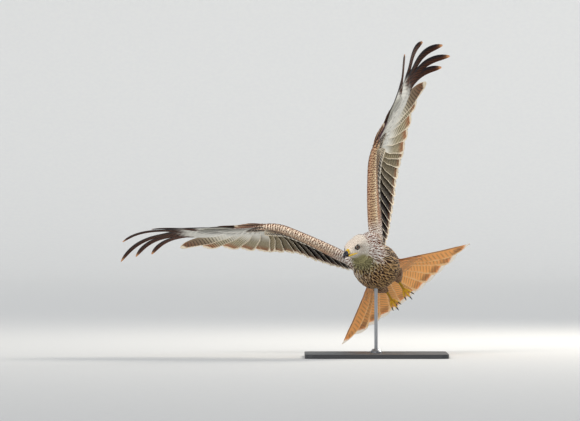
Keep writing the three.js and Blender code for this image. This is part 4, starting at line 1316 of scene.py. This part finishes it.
LESSER_LOOK = plumage("plumage_lesser", streak=0.34, rim=0.2, tip=0.1, barbs=50.0)
# Colours of the lining below the arm, from the leading edge back, for each wing. The bands are the bird's
# own, but the two wings differ by painted light: the right's are painted paler, with a painted highlight
# along the leading edge, and the left's darker, as painted shade.
UNDER_BANDS_PAINTED_LIGHT_BY_SIDE = {
    "left": [(0, colour(168, 128, 102)), (0.12, colour(216, 178, 140)), (0.3, colour(238, 204, 156)),
             (0.45, colour(255, 240, 204)), (0.6, colour(208, 152, 106)), (0.85, colour(150, 102, 68)),
             (1, colour(112, 80, 62))],
    "right": [(0, colour(250, 224, 198)), (0.15, colour(255, 236, 212)), (0.4, colour(238, 200, 160)),
              (0.6, colour(214, 162, 118)), (1, colour(156, 108, 74))],
}
LESSER_ARCS = ((1, (0.05, 0.45)), (-1, (1.07, 0.6)))  # face, and from where to where round the flesh
LESSER_ROW_GAP, LESSER_GAP = 7.0, 7.2
# The mauve of the hand's leading edge below, painted lighter on the right wing and darker on the left, as
# painted light and shade.
EDGE_COLOURS_PAINTED_LIGHT_BY_SIDE = {"left": colour(92, 66, 74), "right": colour(168, 128, 112)}


def lesser_coverts(name, side):
    """Small scales over the wing's flesh, rearward from the leading edge on both faces. The lowest rows
    start on the upper face and fold round the edge."""
    points, home, ground, mark, rim = [], [], [], [], []
    for face, arc in LESSER_ARCS:
        share, around = rows_of_roots(
            side["core"], 0.06, 0.975, lambda s: LESSER_ROW_GAP, lambda s: LESSER_GAP, arc)
        fore = np.abs(around - arc[0]) / abs(arc[1] - arc[0])
        on_the_hand = eased(share, 0.6, 0.68)[:, None]
        length = 13 + 8 * fore
        outward = np.radians(16 + 36 * eased(share, 0.5, 0.75))
        heading = face * (np.pi / 2 - outward) + random.normal(0, 0.09, len(share))
        flat = flat_feathers(SMALL_BLADE, CONTOUR, length, LESSER_GAP + 1.0 * fore,
                             thick=SMALL_THICK, cup=0.1, ragged=0.05)
        points.append(lay_on_skin(side["core"], share, around, heading, flat, slope=0.07, base=-2.0))
        home.append(np.stack([around / 2, share], -1))
        if face > 0:
            tint = banded(fore, [(0, BACK_RIM * 0.8), (0.4, BACK * 1.3), (1, BACK)])
            dark, pale = BREAST_DARK + 0 * tint, BACK_RIM + 0 * tint
        else:
            dark_to = np.interp(share, [0.6, 0.7, 0.8, 0.9, 1], [0.95, 0.9, 0.6, 0.5, 0.45])
            # The edge colour and the lining bands differ between the wings only by painted light and shade.
            edge = EDGE_COLOURS_PAINTED_LIGHT_BY_SIDE[name]
            bands = [(0, edge), (0.5, edge * 0.8), (0.66, BLACKISH), (1, BLACKISH), (1.05, WHITE), (9, WHITE)]
            hand_tint = banded(fore / dark_to, bands)
            tint = mixed(banded(fore, UNDER_BANDS_PAINTED_LIGHT_BY_SIDE[name]), hand_tint, on_the_hand)
            dark = mixed(LINING_DARK, hand_tint * 0.7, on_the_hand)
            pale = mixed(tint * 0.5 + CREAM * 0.45, hand_tint, on_the_hand)
            root = (1 - eased(share, 0.1, 0.2))[:, None]
            tint, dark = mixed(tint, NECK_PALE, root), mixed(dark, NECK_DARK, root)
        ground.append(tint)
        mark.append(dark)
        rim.append(pale)
    colours = [np.concatenate(store) for store in (ground, mark, rim)]
    feather_piece(f"lesser_{name}", SMALL_BLADE, np.concatenate(points), LESSER_LOOK, "plumage_wing",
                  colours, np.concatenate(home))


for side_name, side in SIDES.items():
    covert_tiers(side_name, side)
    lesser_coverts(side_name, side)

# %% [markdown]
# ## The forked tail
#
# Six pairs of tail feathers fan out, the outer ones longer, which makes the fork. Below they are
# golden, with short dark bars on the inner webs, a broken dark band before the end and a pale worn rim.
# The gold and the rim's near-white end are painted brighter than the feathers' own colour, as painted
# light shining through the tail. Above they are browner. Soft coverts hide their roots on both sides.

# %% Tail feathers
TAIL_SAG = 16


def tail_place(p, q, n):
    """Plan to body: p to the left, q back from the tail's root. The middle sags and the outer tips rise."""
    fall = np.sin(np.radians(TAIL_DROOP)) * q
    sag = TAIL_SAG * (q / TAIL_OUTER) ** 2 * (1 - 1.5 * (p / 240) ** 2)
    return np.stack([-TAIL_ROOT["back"] - q, p + 0 * q, TAIL_ROOT["up"] - fall - sag + n], -1)


def tail_feather(sign, number):
    """Root and tip of a tail feather by its side and its number from the middle."""
    share = np.minimum((np.asarray(number, float) + 0.5) / (TAIL_PAIRS - 0.5), 1)
    angle = np.radians(TAIL_SPREAD * share)
    length = TAIL_INNER + (TAIL_OUTER - TAIL_INNER) * share**3
    root = np.stack([sign * (2 + 8 * share), -(26 - 8 * share)], -1)
    return root, np.stack([sign * length * np.sin(angle), length * np.cos(angle)], -1)


TAIL_LOOK = plumage("plumage_tail", bars=21.0, bar_depth=0.36, rim=0.1, tip=0.08, barbs=700.0, roughness=0.6)
# The gold below is painted brighter than the feathers' own colour, as painted light shining through the tail.
TAIL_GOLD_WITH_PAINTED_GLOW = colour(250, 180, 102)
TAIL_TOP = colour(166, 92, 46)
TAIL_COVERT_LOOK = plumage("plumage_tail_covert", streak=0.14, rim=0.2, barbs=90.0)


# The pale rim below, painted towards near white at the end as painted light shining through the tips.
TAIL_RIM, TAIL_PALE_END_WITH_PAINTED_GLOW = colour(250, 206, 150), colour(255, 248, 236)
TAIL_WIDTH, OUTERMOST_WEB = 52.0, 0.45


def tail_blades(sign):
    """The tail feathers of one side: the middle one on top, each next one under the last. The outermost
    one bends the other way and has a narrow outer web."""
    root, tip = tail_feather(sign, np.arange(TAIL_PAIRS))
    length, sets = spans(root, tip), []
    for k in range(TAIL_PAIRS):
        last = k == TAIL_PAIRS - 1
        along, across, height = flat_feathers(
            LONG_BLADE, OUTER_RECTRIX if last else RECTRIX, length[k:k + 1], np.array([TAIL_WIDTH]),
            thick=0.9, cup=0.03, bow=-0.02 if last else 0.015, ridge=0.9, ragged=0.05)
        if last:
            across = np.where(LONG_BLADE["side"] > 0, across * OUTERMOST_WEB, across)
        level = (1.0 if k == 0 else -1.6) - (1.6 if sign < 0 else 0)
        roll = 0.0 if k == 0 else 6.0
        flat = along, across, height
        sets.append(lay_on_plan(tail_place, root[k:k + 1], tip[k:k + 1], flat, level, roll, 0.0, sign))
    return sets


def tail_vanes():
    """All tail feathers in one piece, which stands for the tail."""
    points = np.concatenate([*tail_blades(1), *tail_blades(-1)])
    outer = (np.tile(np.arange(TAIL_PAIRS), 2) / (TAIL_PAIRS - 1))[:, None, None]
    spot = eased(ALONG, 0.8, 0.86) * eased(ALONG, 0.95, 0.9) * eased(WEB_SIDE, 0.3, -0.1)
    spot = spot * random.uniform(0.1, 0.6, len(points))[:, None, None]
    # The gold ground carries painted light shining through the tail.
    ground = TAIL_GOLD_WITH_PAINTED_GLOW * (1 - 0.2 * outer) + RUFOUS * 0.2 * outer
    ground = mixed(ground, colour(255, 164, 84), eased(ALONG, 0.84, 0.93))
    ground = mixed(ground, colour(52, 32, 22), spot)
    ground = mixed(ground, colour(80, 54, 40), eased(WEB_SIDE, 0.1, 0.5) * (outer > 0.9) * 0.7)
    ticked = eased(WEB_SIDE, 0.05, -0.2) * eased(WEB_SIDE, -1.0, -0.6)
    mark = mixed(ground, colour(70, 42, 28), ticked)
    rim = np.where(OVER, colour(206, 150, 104), mixed(TAIL_RIM, TAIL_PALE_END_WITH_PAINTED_GLOW, eased(ALONG, 0.9, 0.96)))
    feather_piece("tail_vanes", LONG_BLADE, points, TAIL_LOOK, "plumage_tail",
                  (np.where(OVER, TAIL_TOP, ground), mark, rim), *strips(len(points)), ("tail",))


TAIL_COVERT_SIDES = ((1, 0.4, 5), (-1, 0.5, 6))  # face, reach of the longest row and rows
TAIL_COVERTS_ACROSS = 15


def tail_coverts():
    """Rows of soft feathers over and under the roots of the tail feathers."""
    points, ground, home = [], [], []
    for face, reach, rows in TAIL_COVERT_SIDES:
        for row in range(rows):
            count = TAIL_COVERTS_ACROSS - row
            number = np.linspace(-1, 1, count) * (TAIL_PAIRS - (2.6 if face > 0 else 1.8))
            number = number + random.normal(0, 0.08, count)
            middle = 0.5 * (np.abs(number) < 0.3)
            root, tip = tail_feather(np.sign(number) + (number == 0), np.abs(number) + 0.2 - middle)
            start = root + (tip - root) * (0.1 - 0.03 * row)
            end = root + (tip - root) * (reach - 0.055 * row + random.normal(0, 0.008, count))[:, None]
            flat = flat_feathers(MIDDLE_BLADE, COVERT, spans(start, end), np.full(count, 30.0 - row),
                                 thick=0.6, cup=0.07, ragged=0.05)
            level = face * (3.6 + 1.5 * row)
            points.append(lay_on_plan(tail_place, start, end, flat, level))
            tint = RUFOUS * 0.8 if face > 0 else colour(238, 168, 104)
            ground.append(np.tile(tint, (count, 1)))
            home.append(np.stack([0.5 + start[:, 0] / 300, 0.5 + face * 0.2 + start[:, 1] / 900], -1))
    feather_piece("tail_coverts", MIDDLE_BLADE, np.concatenate(points), TAIL_COVERT_LOOK, "plumage_tail",
                  (np.concatenate(ground), NECK_DARK, colour(214, 160, 112)), np.concatenate(home))


tail_vanes()
tail_coverts()

# %% [markdown]
# ## Bill, cere and eyes
#
# The face decides whether the bird looks alive. The cere is soft yellow skin with slit nostrils, and runs
# back under the eye as a thin gape line. The bill is hard horn, blue-grey at the base and black at the
# hook. The eye is a glossy ball under a brow ridge, with an amber iris round a black pupil.

# %% Cere and gape
CERE_ROWS = [
    [25, -2, 1, 1, 1], [28, -2.4, 8.8, 10.6, 4.8], [33, -2.6, 8.6, 10.2, 5.4],
    [37, -3, 7.6, 8.8, 5.4], [39.4, -3, 6.6, 7.6, 5.3], [40.6, -3, 0.5, 0.5, 0.5],
]
NOSTRIL, NOSTRIL_SLANT, NOSTRIL_DEPTH = np.array([35.5, 8.0, 1.2]), 28, 1.8
GAPE = [[40, 4.8, -11.4], [34, 9.0, -11.4], [24, 14.8, -10.8], [15, 19.4, -10.0], [7, 22.4, -9.4]]


def lip_size(share):
    """Half width and half depth of the roll beside the mouth, which thins towards its corner."""
    size = (2.3 - 1.1 * share) * domed(share, 0.12, 0.2)
    return size, size


def cere_parts():
    """The cere with dented nostrils, and a thin roll of skin along each side of the mouth."""
    points, quads, tris = grid_of(egg_rows(CERE_ROWS), 60, 56)
    away = (points * [1, 0, 1] + [0, 1, 0] * np.abs(points) - NOSTRIL) @ turn("y", NOSTRIL_SLANT)
    dent = np.exp(-((away[:, 0] / 2.6) ** 2 + (away[:, 2] / 1.1) ** 2 + (away[:, 1] / 4) ** 2))
    points = points - np.stack([0 * dent, np.sign(points[:, 1]) * NOSTRIL_DEPTH * dent, 0 * dent], -1)
    parts, pits = [(points, quads, tris)], [dent]
    for sign in (1, -1):
        lip = limb(np.array(GAPE) * [1, sign, 1], lip_size, (0, 0, 1))
        parts.append(grid_of(lip, 40, 14))
        pits.append(np.zeros(len(parts[-1][0])))
    return joined(parts), np.concatenate(pits)


def waxy_material(name, pale, deep, roughness=0.42):
    """Two tones by noise, and a soft coat of light under the surface. The caller paints and bumps it."""
    material, tree, shader = material_of(
        name, Roughness=roughness, Subsurface_Weight=0.12, Subsurface_Scale=0.002)
    patchy = ramp(tree, noise(tree, 240.0, 4.0), 0.35, 0.7)
    return material, tree, shader, blended(tree, patchy, deep, pale)


def in_head(points, quads, tris):
    """A closed form drawn in the head's frame, carried to the body's."""
    return from_head(points), quads, tris


cere, cere_pits = cere_parts()
CERE_LOOK, tree, shader, painted = waxy_material("cere_skin", colour(240, 204, 44), colour(216, 168, 30))
# Painted shade: the nostril dents are painted dark brown, as the shade inside the openings.
painted = blended(tree, ramp(tree, attribute(tree, "pit"), 0.35, 0.75), painted, colour(40, 26, 14))
coated(tree, shader, painted, noise(tree, 1300.0, 2.0), 0.25, 0.0003)
solid_piece("cere_skin", in_head(*cere), CERE_LOOK, "yellow_skin", ("cere",), {"pit": cere_pits})

# %% Bill
BILL_LINE = [[35, 0, -3], [46, 0, -3.4], [54, 0, -8], [57, 0, -18.6]]
LOWER_LINE = [[22, 0, -12.2], [38, 0, -11.9], [48, 0, -10.8]]


def upper_size(share):
    """Half width and half depth of the upper bill: full at the cere and a point at the hook."""
    size = (1 - 0.93 * share**1.7) * domed(share, 0.02, 0.03)
    return 6.2 * size, 7.4 * size


def lower_size(share):
    """Half width and half depth of the lower bill, which ends inside the hook."""
    size = domed(share, 0.05, 0.12)
    return (7 + (2.6 - 7) * share) * size, (3.0 + (1.3 - 3.0) * share) * size


def horn_material(name, base, tip, scale=1.0):
    """Horn: a pale base that darkens to the tip, fine growth lines across, and a polish."""
    material, tree, shader = material_of(name, Roughness=0.24, Coat_Weight=0.35, Coat_Roughness=0.12)
    along = attribute(tree, "along")
    worn = maths(tree, "MULTIPLY_ADD", noise(tree, 220.0, 4.0), 0.5, -0.25)
    part = ramp(tree, maths(tree, "ADD", along, worn), 0.1, 0.62)
    lines = maths(tree, "SINE", maths(tree, "MULTIPLY_ADD", along, 90.0 * scale, noise(tree, 300.0)))
    height = maths(tree, "MULTIPLY_ADD", lines, 0.25, noise(tree, 500.0, 4.0))
    coated(tree, shader, blended(tree, part, base, tip), height, 0.12, 0.0004)
    return material


BILL_PARTS = {
    "bill_upper": (BILL_LINE, upper_size,
                   horn_material("bill_horn", colour(62, 68, 96), colour(16, 17, 26))),
    "bill_lower": (LOWER_LINE, lower_size,
                   horn_material("lower_bill_horn", colour(214, 172, 44), colour(24, 24, 30))),
}
for bill_name, (line, size, look) in BILL_PARTS.items():
    bill = grid_of(limb(line, size, (0, 0, 1)), 70, 40)
    along = np.clip((bill[0][:, 0] - line[0][0]) / (line[-1][0] - line[0][0]), 0, 1)
    solid_piece(f"{bill_name}_horn", in_head(*bill), look, "horn", (bill_name,), {"along": along})

# %% Eyes and lids
EYE_FORWARD = 24.0
EYE_RINGS, EYE_AROUND, LID_AROUND, LID_THICK = 40, 48, 64, 18


def eye_material():
    """Pupil, iris and rim by the angle from the eye's own axis, with fibres in the iris."""
    material, tree, shader = material_of("eye_glass", Roughness=0.08, Coat_Weight=1.0, Coat_Roughness=0.02)
    polar, spun = attribute(tree, "polar"), attribute(tree, "spun")
    swirl = maths(tree, "MULTIPLY", noise(tree, 500.0), 8.0)
    waves = maths(tree, "SINE", maths(tree, "MULTIPLY_ADD", spun, 46.0, swirl))
    fibres = maths(tree, "MULTIPLY_ADD", waves, 0.3, 0.5)
    iris = blended(tree, fibres, colour(84, 46, 14), colour(140, 88, 28))
    iris = blended(tree, ramp(tree, polar, 0.5, 0.66), iris, colour(20, 12, 8))
    coated(tree, shader, blended(tree, ramp(tree, polar, 0.36, 0.4), colour(4, 4, 5), iris))
    return material


def in_socket(grid, sign):
    """Points round an eye that looks along y, turned forward and moved to its place on one side."""
    return (grid * [1, sign, 1]) @ turn("z", -sign * EYE_FORWARD).T + EYE_AT * [1, sign, 1]


def eye_ball(sign):
    """A ball whose poles lie on the eye's axis, bulged a little at the cornea, and each point's angles."""
    polar = np.linspace(0, np.pi, EYE_RINGS)[:, None]
    spun = ring_angles(EYE_AROUND)
    radius = EYE_RADIUS * (0.985 + 0.02 * np.exp(-((polar / 0.5) ** 2)))
    out, wide = radius * np.cos(polar), radius * np.sin(polar)
    ball = closed(in_socket(np.stack([wide * np.cos(spun), out + 0 * spun, wide * np.sin(spun)], -1), sign))
    angle = np.concatenate([[0], np.repeat(polar[1:-1, 0], EYE_AROUND), [np.pi]])
    turned = np.concatenate([[0], np.tile(spun[0], EYE_RINGS - 2), [0]])
    return ball, {"polar": angle, "spun": turned}


def lid_ring(sign):
    """Two lids as one almond ring: a closed tube, wider than high, thicker over the eye."""
    turned, angle = ring_angles(LID_AROUND).T, ring_angles(LID_THICK)
    bulk = 1.2 + 0.9 * np.maximum(np.sin(turned), 0)
    run = 5.9 + 0.7 * np.cos(turned) ** 4 + bulk * np.cos(angle)
    side, up = run * np.cos(turned), 0.8 * run * np.sin(turned)
    out = 4.2 - 0.7 * np.cos(turned) ** 2 + bulk * np.sin(angle)
    points = in_socket(np.stack([side, out + 0 * side, up], -1), sign).reshape(-1, 3)
    index = np.arange(LID_AROUND * LID_THICK).reshape(LID_AROUND, LID_THICK)
    below, beside = np.roll(index, -1, 0), np.roll(index, -1, 1)
    quads = np.stack([index, below, np.roll(below, -1, 1), beside], -1).reshape(-1, 4)
    tris = np.zeros((0, 3), int)
    return points, quads if volume(points, quads, tris) > 0 else quads[:, ::-1], tris


EYE_LOOK = eye_material()
LID_LOOK, tree, shader, painted = waxy_material("lid_skin", colour(50, 44, 34), colour(26, 22, 18), 0.55)
coated(tree, shader, painted, noise(tree, 1600.0), 0.3, 0.0003)
for side_name, sign in SIGNS.items():
    ball, angles = eye_ball(sign)
    solid_piece(f"eye_ball_{side_name}", in_head(*ball), EYE_LOOK, "eye", (f"eye_{side_name}",), angles)
    solid_piece(f"lids_{side_name}", in_head(*lid_ring(sign)), LID_LOOK, "plumage_head")

# %% [markdown]
# ## Legs and claws
#
# The bare leg is yellow. Wide scutes cross the front of the shank and the top of each toe, and small
# granular scales cover the rest, with swollen pads beneath. Shank, ball and toes are joined by a voxel
# remesh, and each point then learns how far along its toe it lies, which places the scutes.

# %% Toes
# Each toe's way ahead, out and down, and its length before the curl shortens it.
TOES = [[0.42, 0.04, -1, 38], [0.3, 0.52, -0.85, 29], [0.3, -0.5, -0.85, 28], [-0.75, -0.08, -0.75, 23]]
TARSUS_RADIUS, TOE_RADIUS, CLAW_LENGTH = 4.3, 3.9, 13.5
FOOT_VOXEL, FOOT_SMOOTHING = 0.7, 3


def toe_line(leg, toe):
    """Start, middle and end of a toe, and the tip of its claw."""
    ahead, out, down, length = toe
    start = leg["foot"] + [0, 0, -2]
    way = unit(np.array([ahead, leg["sign"] * out, down]))
    bent = np.array([-0.55 if ahead > 0 else 0.75, 0, -0.6])
    middle = start + way * length * 0.5 + [np.sign(ahead) * 3.5, 0, 2]
    end = start + way * length * 0.85 + bent * length * 0.12
    return start, middle, end, end + unit(bent) * CLAW_LENGTH * 0.85 + way * CLAW_LENGTH * 0.35


def foot_parts(leg):
    """Shank, ball of the foot, and toes that swell at each joint, with the lines of shank and toes."""
    hip, heel, sole = leg["hip"], leg["heel"], leg["foot"]
    shank = [heel + (hip - heel) * 0.16, sole + (heel - sole) * 0.3, sole + [-1, 0, -4]]

    def shank_size(share):
        end, swell = domed(share, 0.06, 0.06), eased(share, 0.6, 1)
        return (TARSUS_RADIUS + 1.6 * swell) * end, (TARSUS_RADIUS + 1.2 * swell) * end

    parts = [grid_of(limb(shank, shank_size, (0, 1, 0)), 30, 20)]
    polar, spun = np.linspace(0, np.pi, 16)[:, None], ring_angles(20)
    wide = np.sin(polar)
    ball = np.stack([wide * np.cos(spun), wide * np.sin(spun), np.cos(polar) + 0 * spun], -1)
    parts.append(closed(ball * [6, 6.4, 5] + sole + [0, 0, -3]))

    def toe_size(share):
        wide = TOE_RADIUS * (1.05 - 0.27 * share) + 0.4 * np.cos(share * 6 * np.pi)
        return wide * domed(share, 0.1, 0.1), wide * domed(share, 0.1, 0.1)

    lines = [toe_line(leg, toe)[:3] for toe in TOES]
    parts += [grid_of(limb(line, toe_size, (0.3, 1, 0.2)), 28, 16) for line in lines]
    return parts, [shank, *lines]


def along_lines(points, lines):
    """How far along its nearest line each point lies, and how much it faces that line's upper side."""
    best, along, top = np.full(len(points), 1e9), np.zeros(len(points)), np.zeros(len(points))
    for line in lines:
        path = spline(line)(np.linspace(0, 1, 60))
        run = np.concatenate([[0], np.cumsum(np.linalg.norm(np.diff(path, axis=0), axis=1))])
        apart = points[:, None, :] - path[None]
        gap = np.linalg.norm(apart, axis=-1)
        nearest = gap.argmin(1)
        closer = gap.min(1) < best
        best = np.where(closer, gap.min(1), best)
        along = np.where(closer, run[nearest], along)
        outward = unit(apart[np.arange(len(points)), nearest])
        top = np.where(closer, outward @ unit(np.array([0.8, 0, 0.6])), top)
    return along, top


def leg_material():
    """Scutes as rounded steps along the upper side, grains elsewhere, and painted shade that darkens the
    creases.
    """
    material, tree, shader, painted = waxy_material(
        "leg_skin", colour(238, 194, 44), colour(212, 156, 24), 0.45)
    cycle = maths(tree, "FRACT", maths(tree, "MULTIPLY", attribute(tree, "along"), 0.42))
    scute = maths(tree, "MULTIPLY", ramp(tree, cycle, 0.0, 0.22), ramp(tree, cycle, 1.0, 0.8))
    sockets = {"Vector": room_place(tree), "Scale": 900.0}
    grain = ramp(tree, node(tree, "ShaderNodeTexVoronoi", sockets).outputs["Distance"], 0.75, 0.2)
    scales = blended(tree, ramp(tree, attribute(tree, "top"), 0.1, 0.5), grain, scute, "FLOAT")
    # Painted shade: the creases between scutes and grains take the darker yellow.
    coated(tree, shader, blended(tree, scales, colour(158, 108, 20), painted), scales, 0.7, 0.0006)
    return material


def claw_size(share):
    """Half width and half depth of a claw, which runs out to a point."""
    end = domed(share, 0.08, 0.03)
    return (2.1 - 1.9 * share) * end, (2.5 - 2.3 * share) * end


CLAW_RINGS, CLAW_AROUND = 30, 18


def claw_parts(leg):
    """The four claws: curved cones that come out of the toes' ends, and how far along each point lies."""
    parts, alongs = [], []
    for toe in TOES:
        _, middle, end, tip = toe_line(leg, toe)
        back = end + (middle - end) * 0.12
        ahead, curl = unit(end - middle), unit(tip - end)
        hook = np.array([-3.5 if toe[0] > 0 else 3.5, 0, 0.8])
        bow = end + ahead * 4.2 + curl * 1.2 - hook * 0.2
        bend = end + ahead * 4.4 + curl * 5.0 + hook * 0.7
        tip = end + ahead * 2.6 + curl * 7.6 + hook * 2.3

        parts.append(grid_of(limb([back, bow, bend, tip], claw_size, (0, 1, 0)), CLAW_RINGS, CLAW_AROUND))
        inner = np.repeat(np.linspace(0, 1, CLAW_RINGS)[1:-1], CLAW_AROUND)
        alongs.append(np.concatenate([[0], inner, [1]]))
    return joined(parts), np.concatenate(alongs)


LEG_LOOK = leg_material()
CLAW_LOOK = horn_material("claw_horn", colour(46, 42, 42), colour(14, 13, 14), 0.5)
for leg_name, leg in LEGS.items():
    parts, lines = foot_parts(leg)
    foot = remeshed("foot_forms", parts, FOOT_VOXEL, FOOT_SMOOTHING)
    along, top = along_lines(foot[0], lines)
    solid_piece(f"leg_skin_{leg_name}", foot, LEG_LOOK, "yellow_skin", (f"foot_{leg_name}",),
                {"along": along, "top": top})
    claws, along = claw_parts(leg)
    nodes = [f"claw_{leg_name}_{number}" for number in range(1, len(TOES) + 1)]
    solid_piece(f"claws_{leg_name}", claws, CLAW_LOOK, "horn", nodes, {"along": along})

# %% [markdown]
# ## The display stand
#
# The stand keeps the shapes of the solids: a flat plate, a collar and a rod. The plate gets a powder
# coat, which is a fine pebbled bump over dark paint, and the metal is brushed, with streaks that run
# along the rod and round the collar.

# %% Stand materials
def powder_coat():
    """Dark matt paint with the small bumps of sprayed powder."""
    material, tree, shader = material_of("powder_coat", Roughness=0.5)
    speckle = ramp(tree, noise(tree, 900.0, 2.0), 0.4, 0.62)
    paint = blended(tree, speckle, colour(48, 49, 52), colour(66, 67, 70))
    coated(tree, shader, paint, noise(tree, 1200.0, 3.0), 0.25, 0.0003)
    return material


def brushed_metal(name, stretch):
    """Steel whose noise is stretched along the brushing, in colour, roughness and bump."""
    material, tree, shader = material_of(name, Metallic=1.0, Roughness=0.32)
    sockets = {"Vector": room_place(tree), "Scale": stretch}
    fine = noise(tree, 400.0, 4.0, node(tree, "ShaderNodeMapping", sockets).outputs[0])
    steel = blended(tree, fine, colour(150, 152, 156), colour(206, 208, 212))
    coated(tree, shader, steel, fine, 0.15, 0.0002)
    tree.links.new(maths(tree, "MULTIPLY_ADD", fine, 0.25, 0.2), shader.inputs["Roughness"])
    return material


ROUND_COLLAR, ALONG_ROD = (1, 1, 12), (6, 6, 0.3)
STAND_LOOKS = {"stand_base": powder_coat(), "stand_collar": brushed_metal("turned_steel", ROUND_COLLAR),
               "stand_rod": brushed_metal("drawn_steel", ALONG_ROD)}
for node_name, material in STAND_LOOKS.items():
    cad = bpy.data.objects[node_name]
    cad.data.materials.clear()
    cad.data.materials.append(material)
BEVEL_WIDTH, BEVEL_STEPS = 0.0015, 3
bevel = bpy.data.objects["stand_base"].modifiers.new("Bevel", "BEVEL")
bevel.width, bevel.segments, bevel.limit_method = BEVEL_WIDTH, BEVEL_STEPS, "ANGLE"

# %% [markdown]
# ## Floor, light and camera
#
# A pale round room and soft light show the plumage without hard shadows. The camera stands far off with
# a long lens, level with the bird, which gives the photo's flat view.

# %% Studio
FLAT, BEND, TALL, ROOM_AROUND = 15.0, 5.0, 9.0, 96
FLOOR_DROP = 0.0005  # the floor lies this far under the stand, so that no faces coincide


def round_room():
    """Floor and wall as one turned surface: its outline runs out flat, up a quarter circle, then upright.
    It is wide enough to hold the camera on every side."""
    angle = np.linspace(0, np.pi / 2, 16)
    radius = np.concatenate([[1.5, 6.0], FLAT + BEND * np.sin(angle), [FLAT + BEND]])[:, None]
    height = np.concatenate([[0, 0], BEND * (1 - np.cos(angle)), [TALL]])[:, None] - FLOOR_DROP
    spun = ring_angles(ROOM_AROUND)
    wall = np.stack([radius * np.cos(spun), radius * np.sin(spun), height + 0 * spun], -1).reshape(-1, 3)
    index = 1 + np.arange(len(wall)).reshape(len(radius), ROOM_AROUND)
    beside = np.roll(index, -1, 1)
    quads = np.stack([index[:-1], index[1:], beside[1:], beside[:-1]], -1).reshape(-1, 4)
    middle = np.stack([0 * index[0], index[0], beside[0]], -1)
    return mesh_of("round_room", np.concatenate([[[0, 0, -FLOOR_DROP]], wall]), quads, middle)


backdrop = round_room()
material, tree, shader = material_of("paper", Roughness=0.9)
shade = ramp(tree, noise(tree, 40.0, 2.0), 0.3, 0.7)
coated(tree, shader, blended(tree, shade, colour(211, 212, 212), colour(213, 214, 213)))
backdrop.data.materials.append(material)

KEY = {"place": (-1.4, -2.4, 1.9), "power": 2.0, "soft": 25, "tint": (1, 0.98, 0.95)}
RIM = {"place": (1.7, 2.2, 2.6), "aim": (0.1, 0, 0.55), "size": 1.2, "power": 90, "tint": (1, 0.93, 0.82)}
SKY_TINT, SKY_POWER = (0.92, 0.95, 1, 1), 0.55


def lamp_of(name, kind, power, tint):
    """A light in the scene, not yet placed or turned."""
    lamp = bpy.data.lights.new(name, kind)
    lamp.energy, lamp.color = power, tint
    return placed(name, lamp)


def area_light(name, place, aim, size, power, tint):
    """A square soft light aimed at a point."""
    thing = lamp_of(name, "AREA", power, tint)
    thing.data.size = size
    back = unit(np.array(place, float) - aim)
    right = unit(np.cross([0, 0, 1], back))
    matrix = np.eye(4)
    matrix[:3] = np.stack([right, np.cross(back, right), back, place], -1)
    thing.matrix_world = Matrix(matrix)


def sun_light(name, place, power, soft, tint):
    """A far light from a place towards the middle, soft by its angle."""
    thing = lamp_of(name, "SUN", power, tint)
    thing.data.angle = np.radians(soft)
    thing.rotation_euler = Vector(place).to_track_quat("Z", "Y").to_euler()


sun_light("key", **KEY)
area_light("rim", **RIM)
world = bpy.data.worlds.new("studio")
bpy.context.scene.world = world
world.use_nodes = True
sky = world.node_tree.nodes["Background"].inputs
sky["Color"].default_value, sky["Strength"].default_value = SKY_TINT, SKY_POWER
bpy.context.scene.view_settings.view_transform = "Standard"

# %% Camera
CAMERA_AT, CAMERA_LENS, FILM_WIDTH, SEES_TO = (-0.253, -14.2, 0.431), 299.7, 36.0, 100.0
camera = placed("camera", bpy.data.cameras.new("camera"))
camera.data.lens, camera.data.sensor_width, camera.data.clip_end = CAMERA_LENS, FILM_WIDTH, SEES_TO
camera.location, camera.rotation_euler = CAMERA_AT, (np.pi / 2, 0, 0)
bpy.context.scene.camera = camera
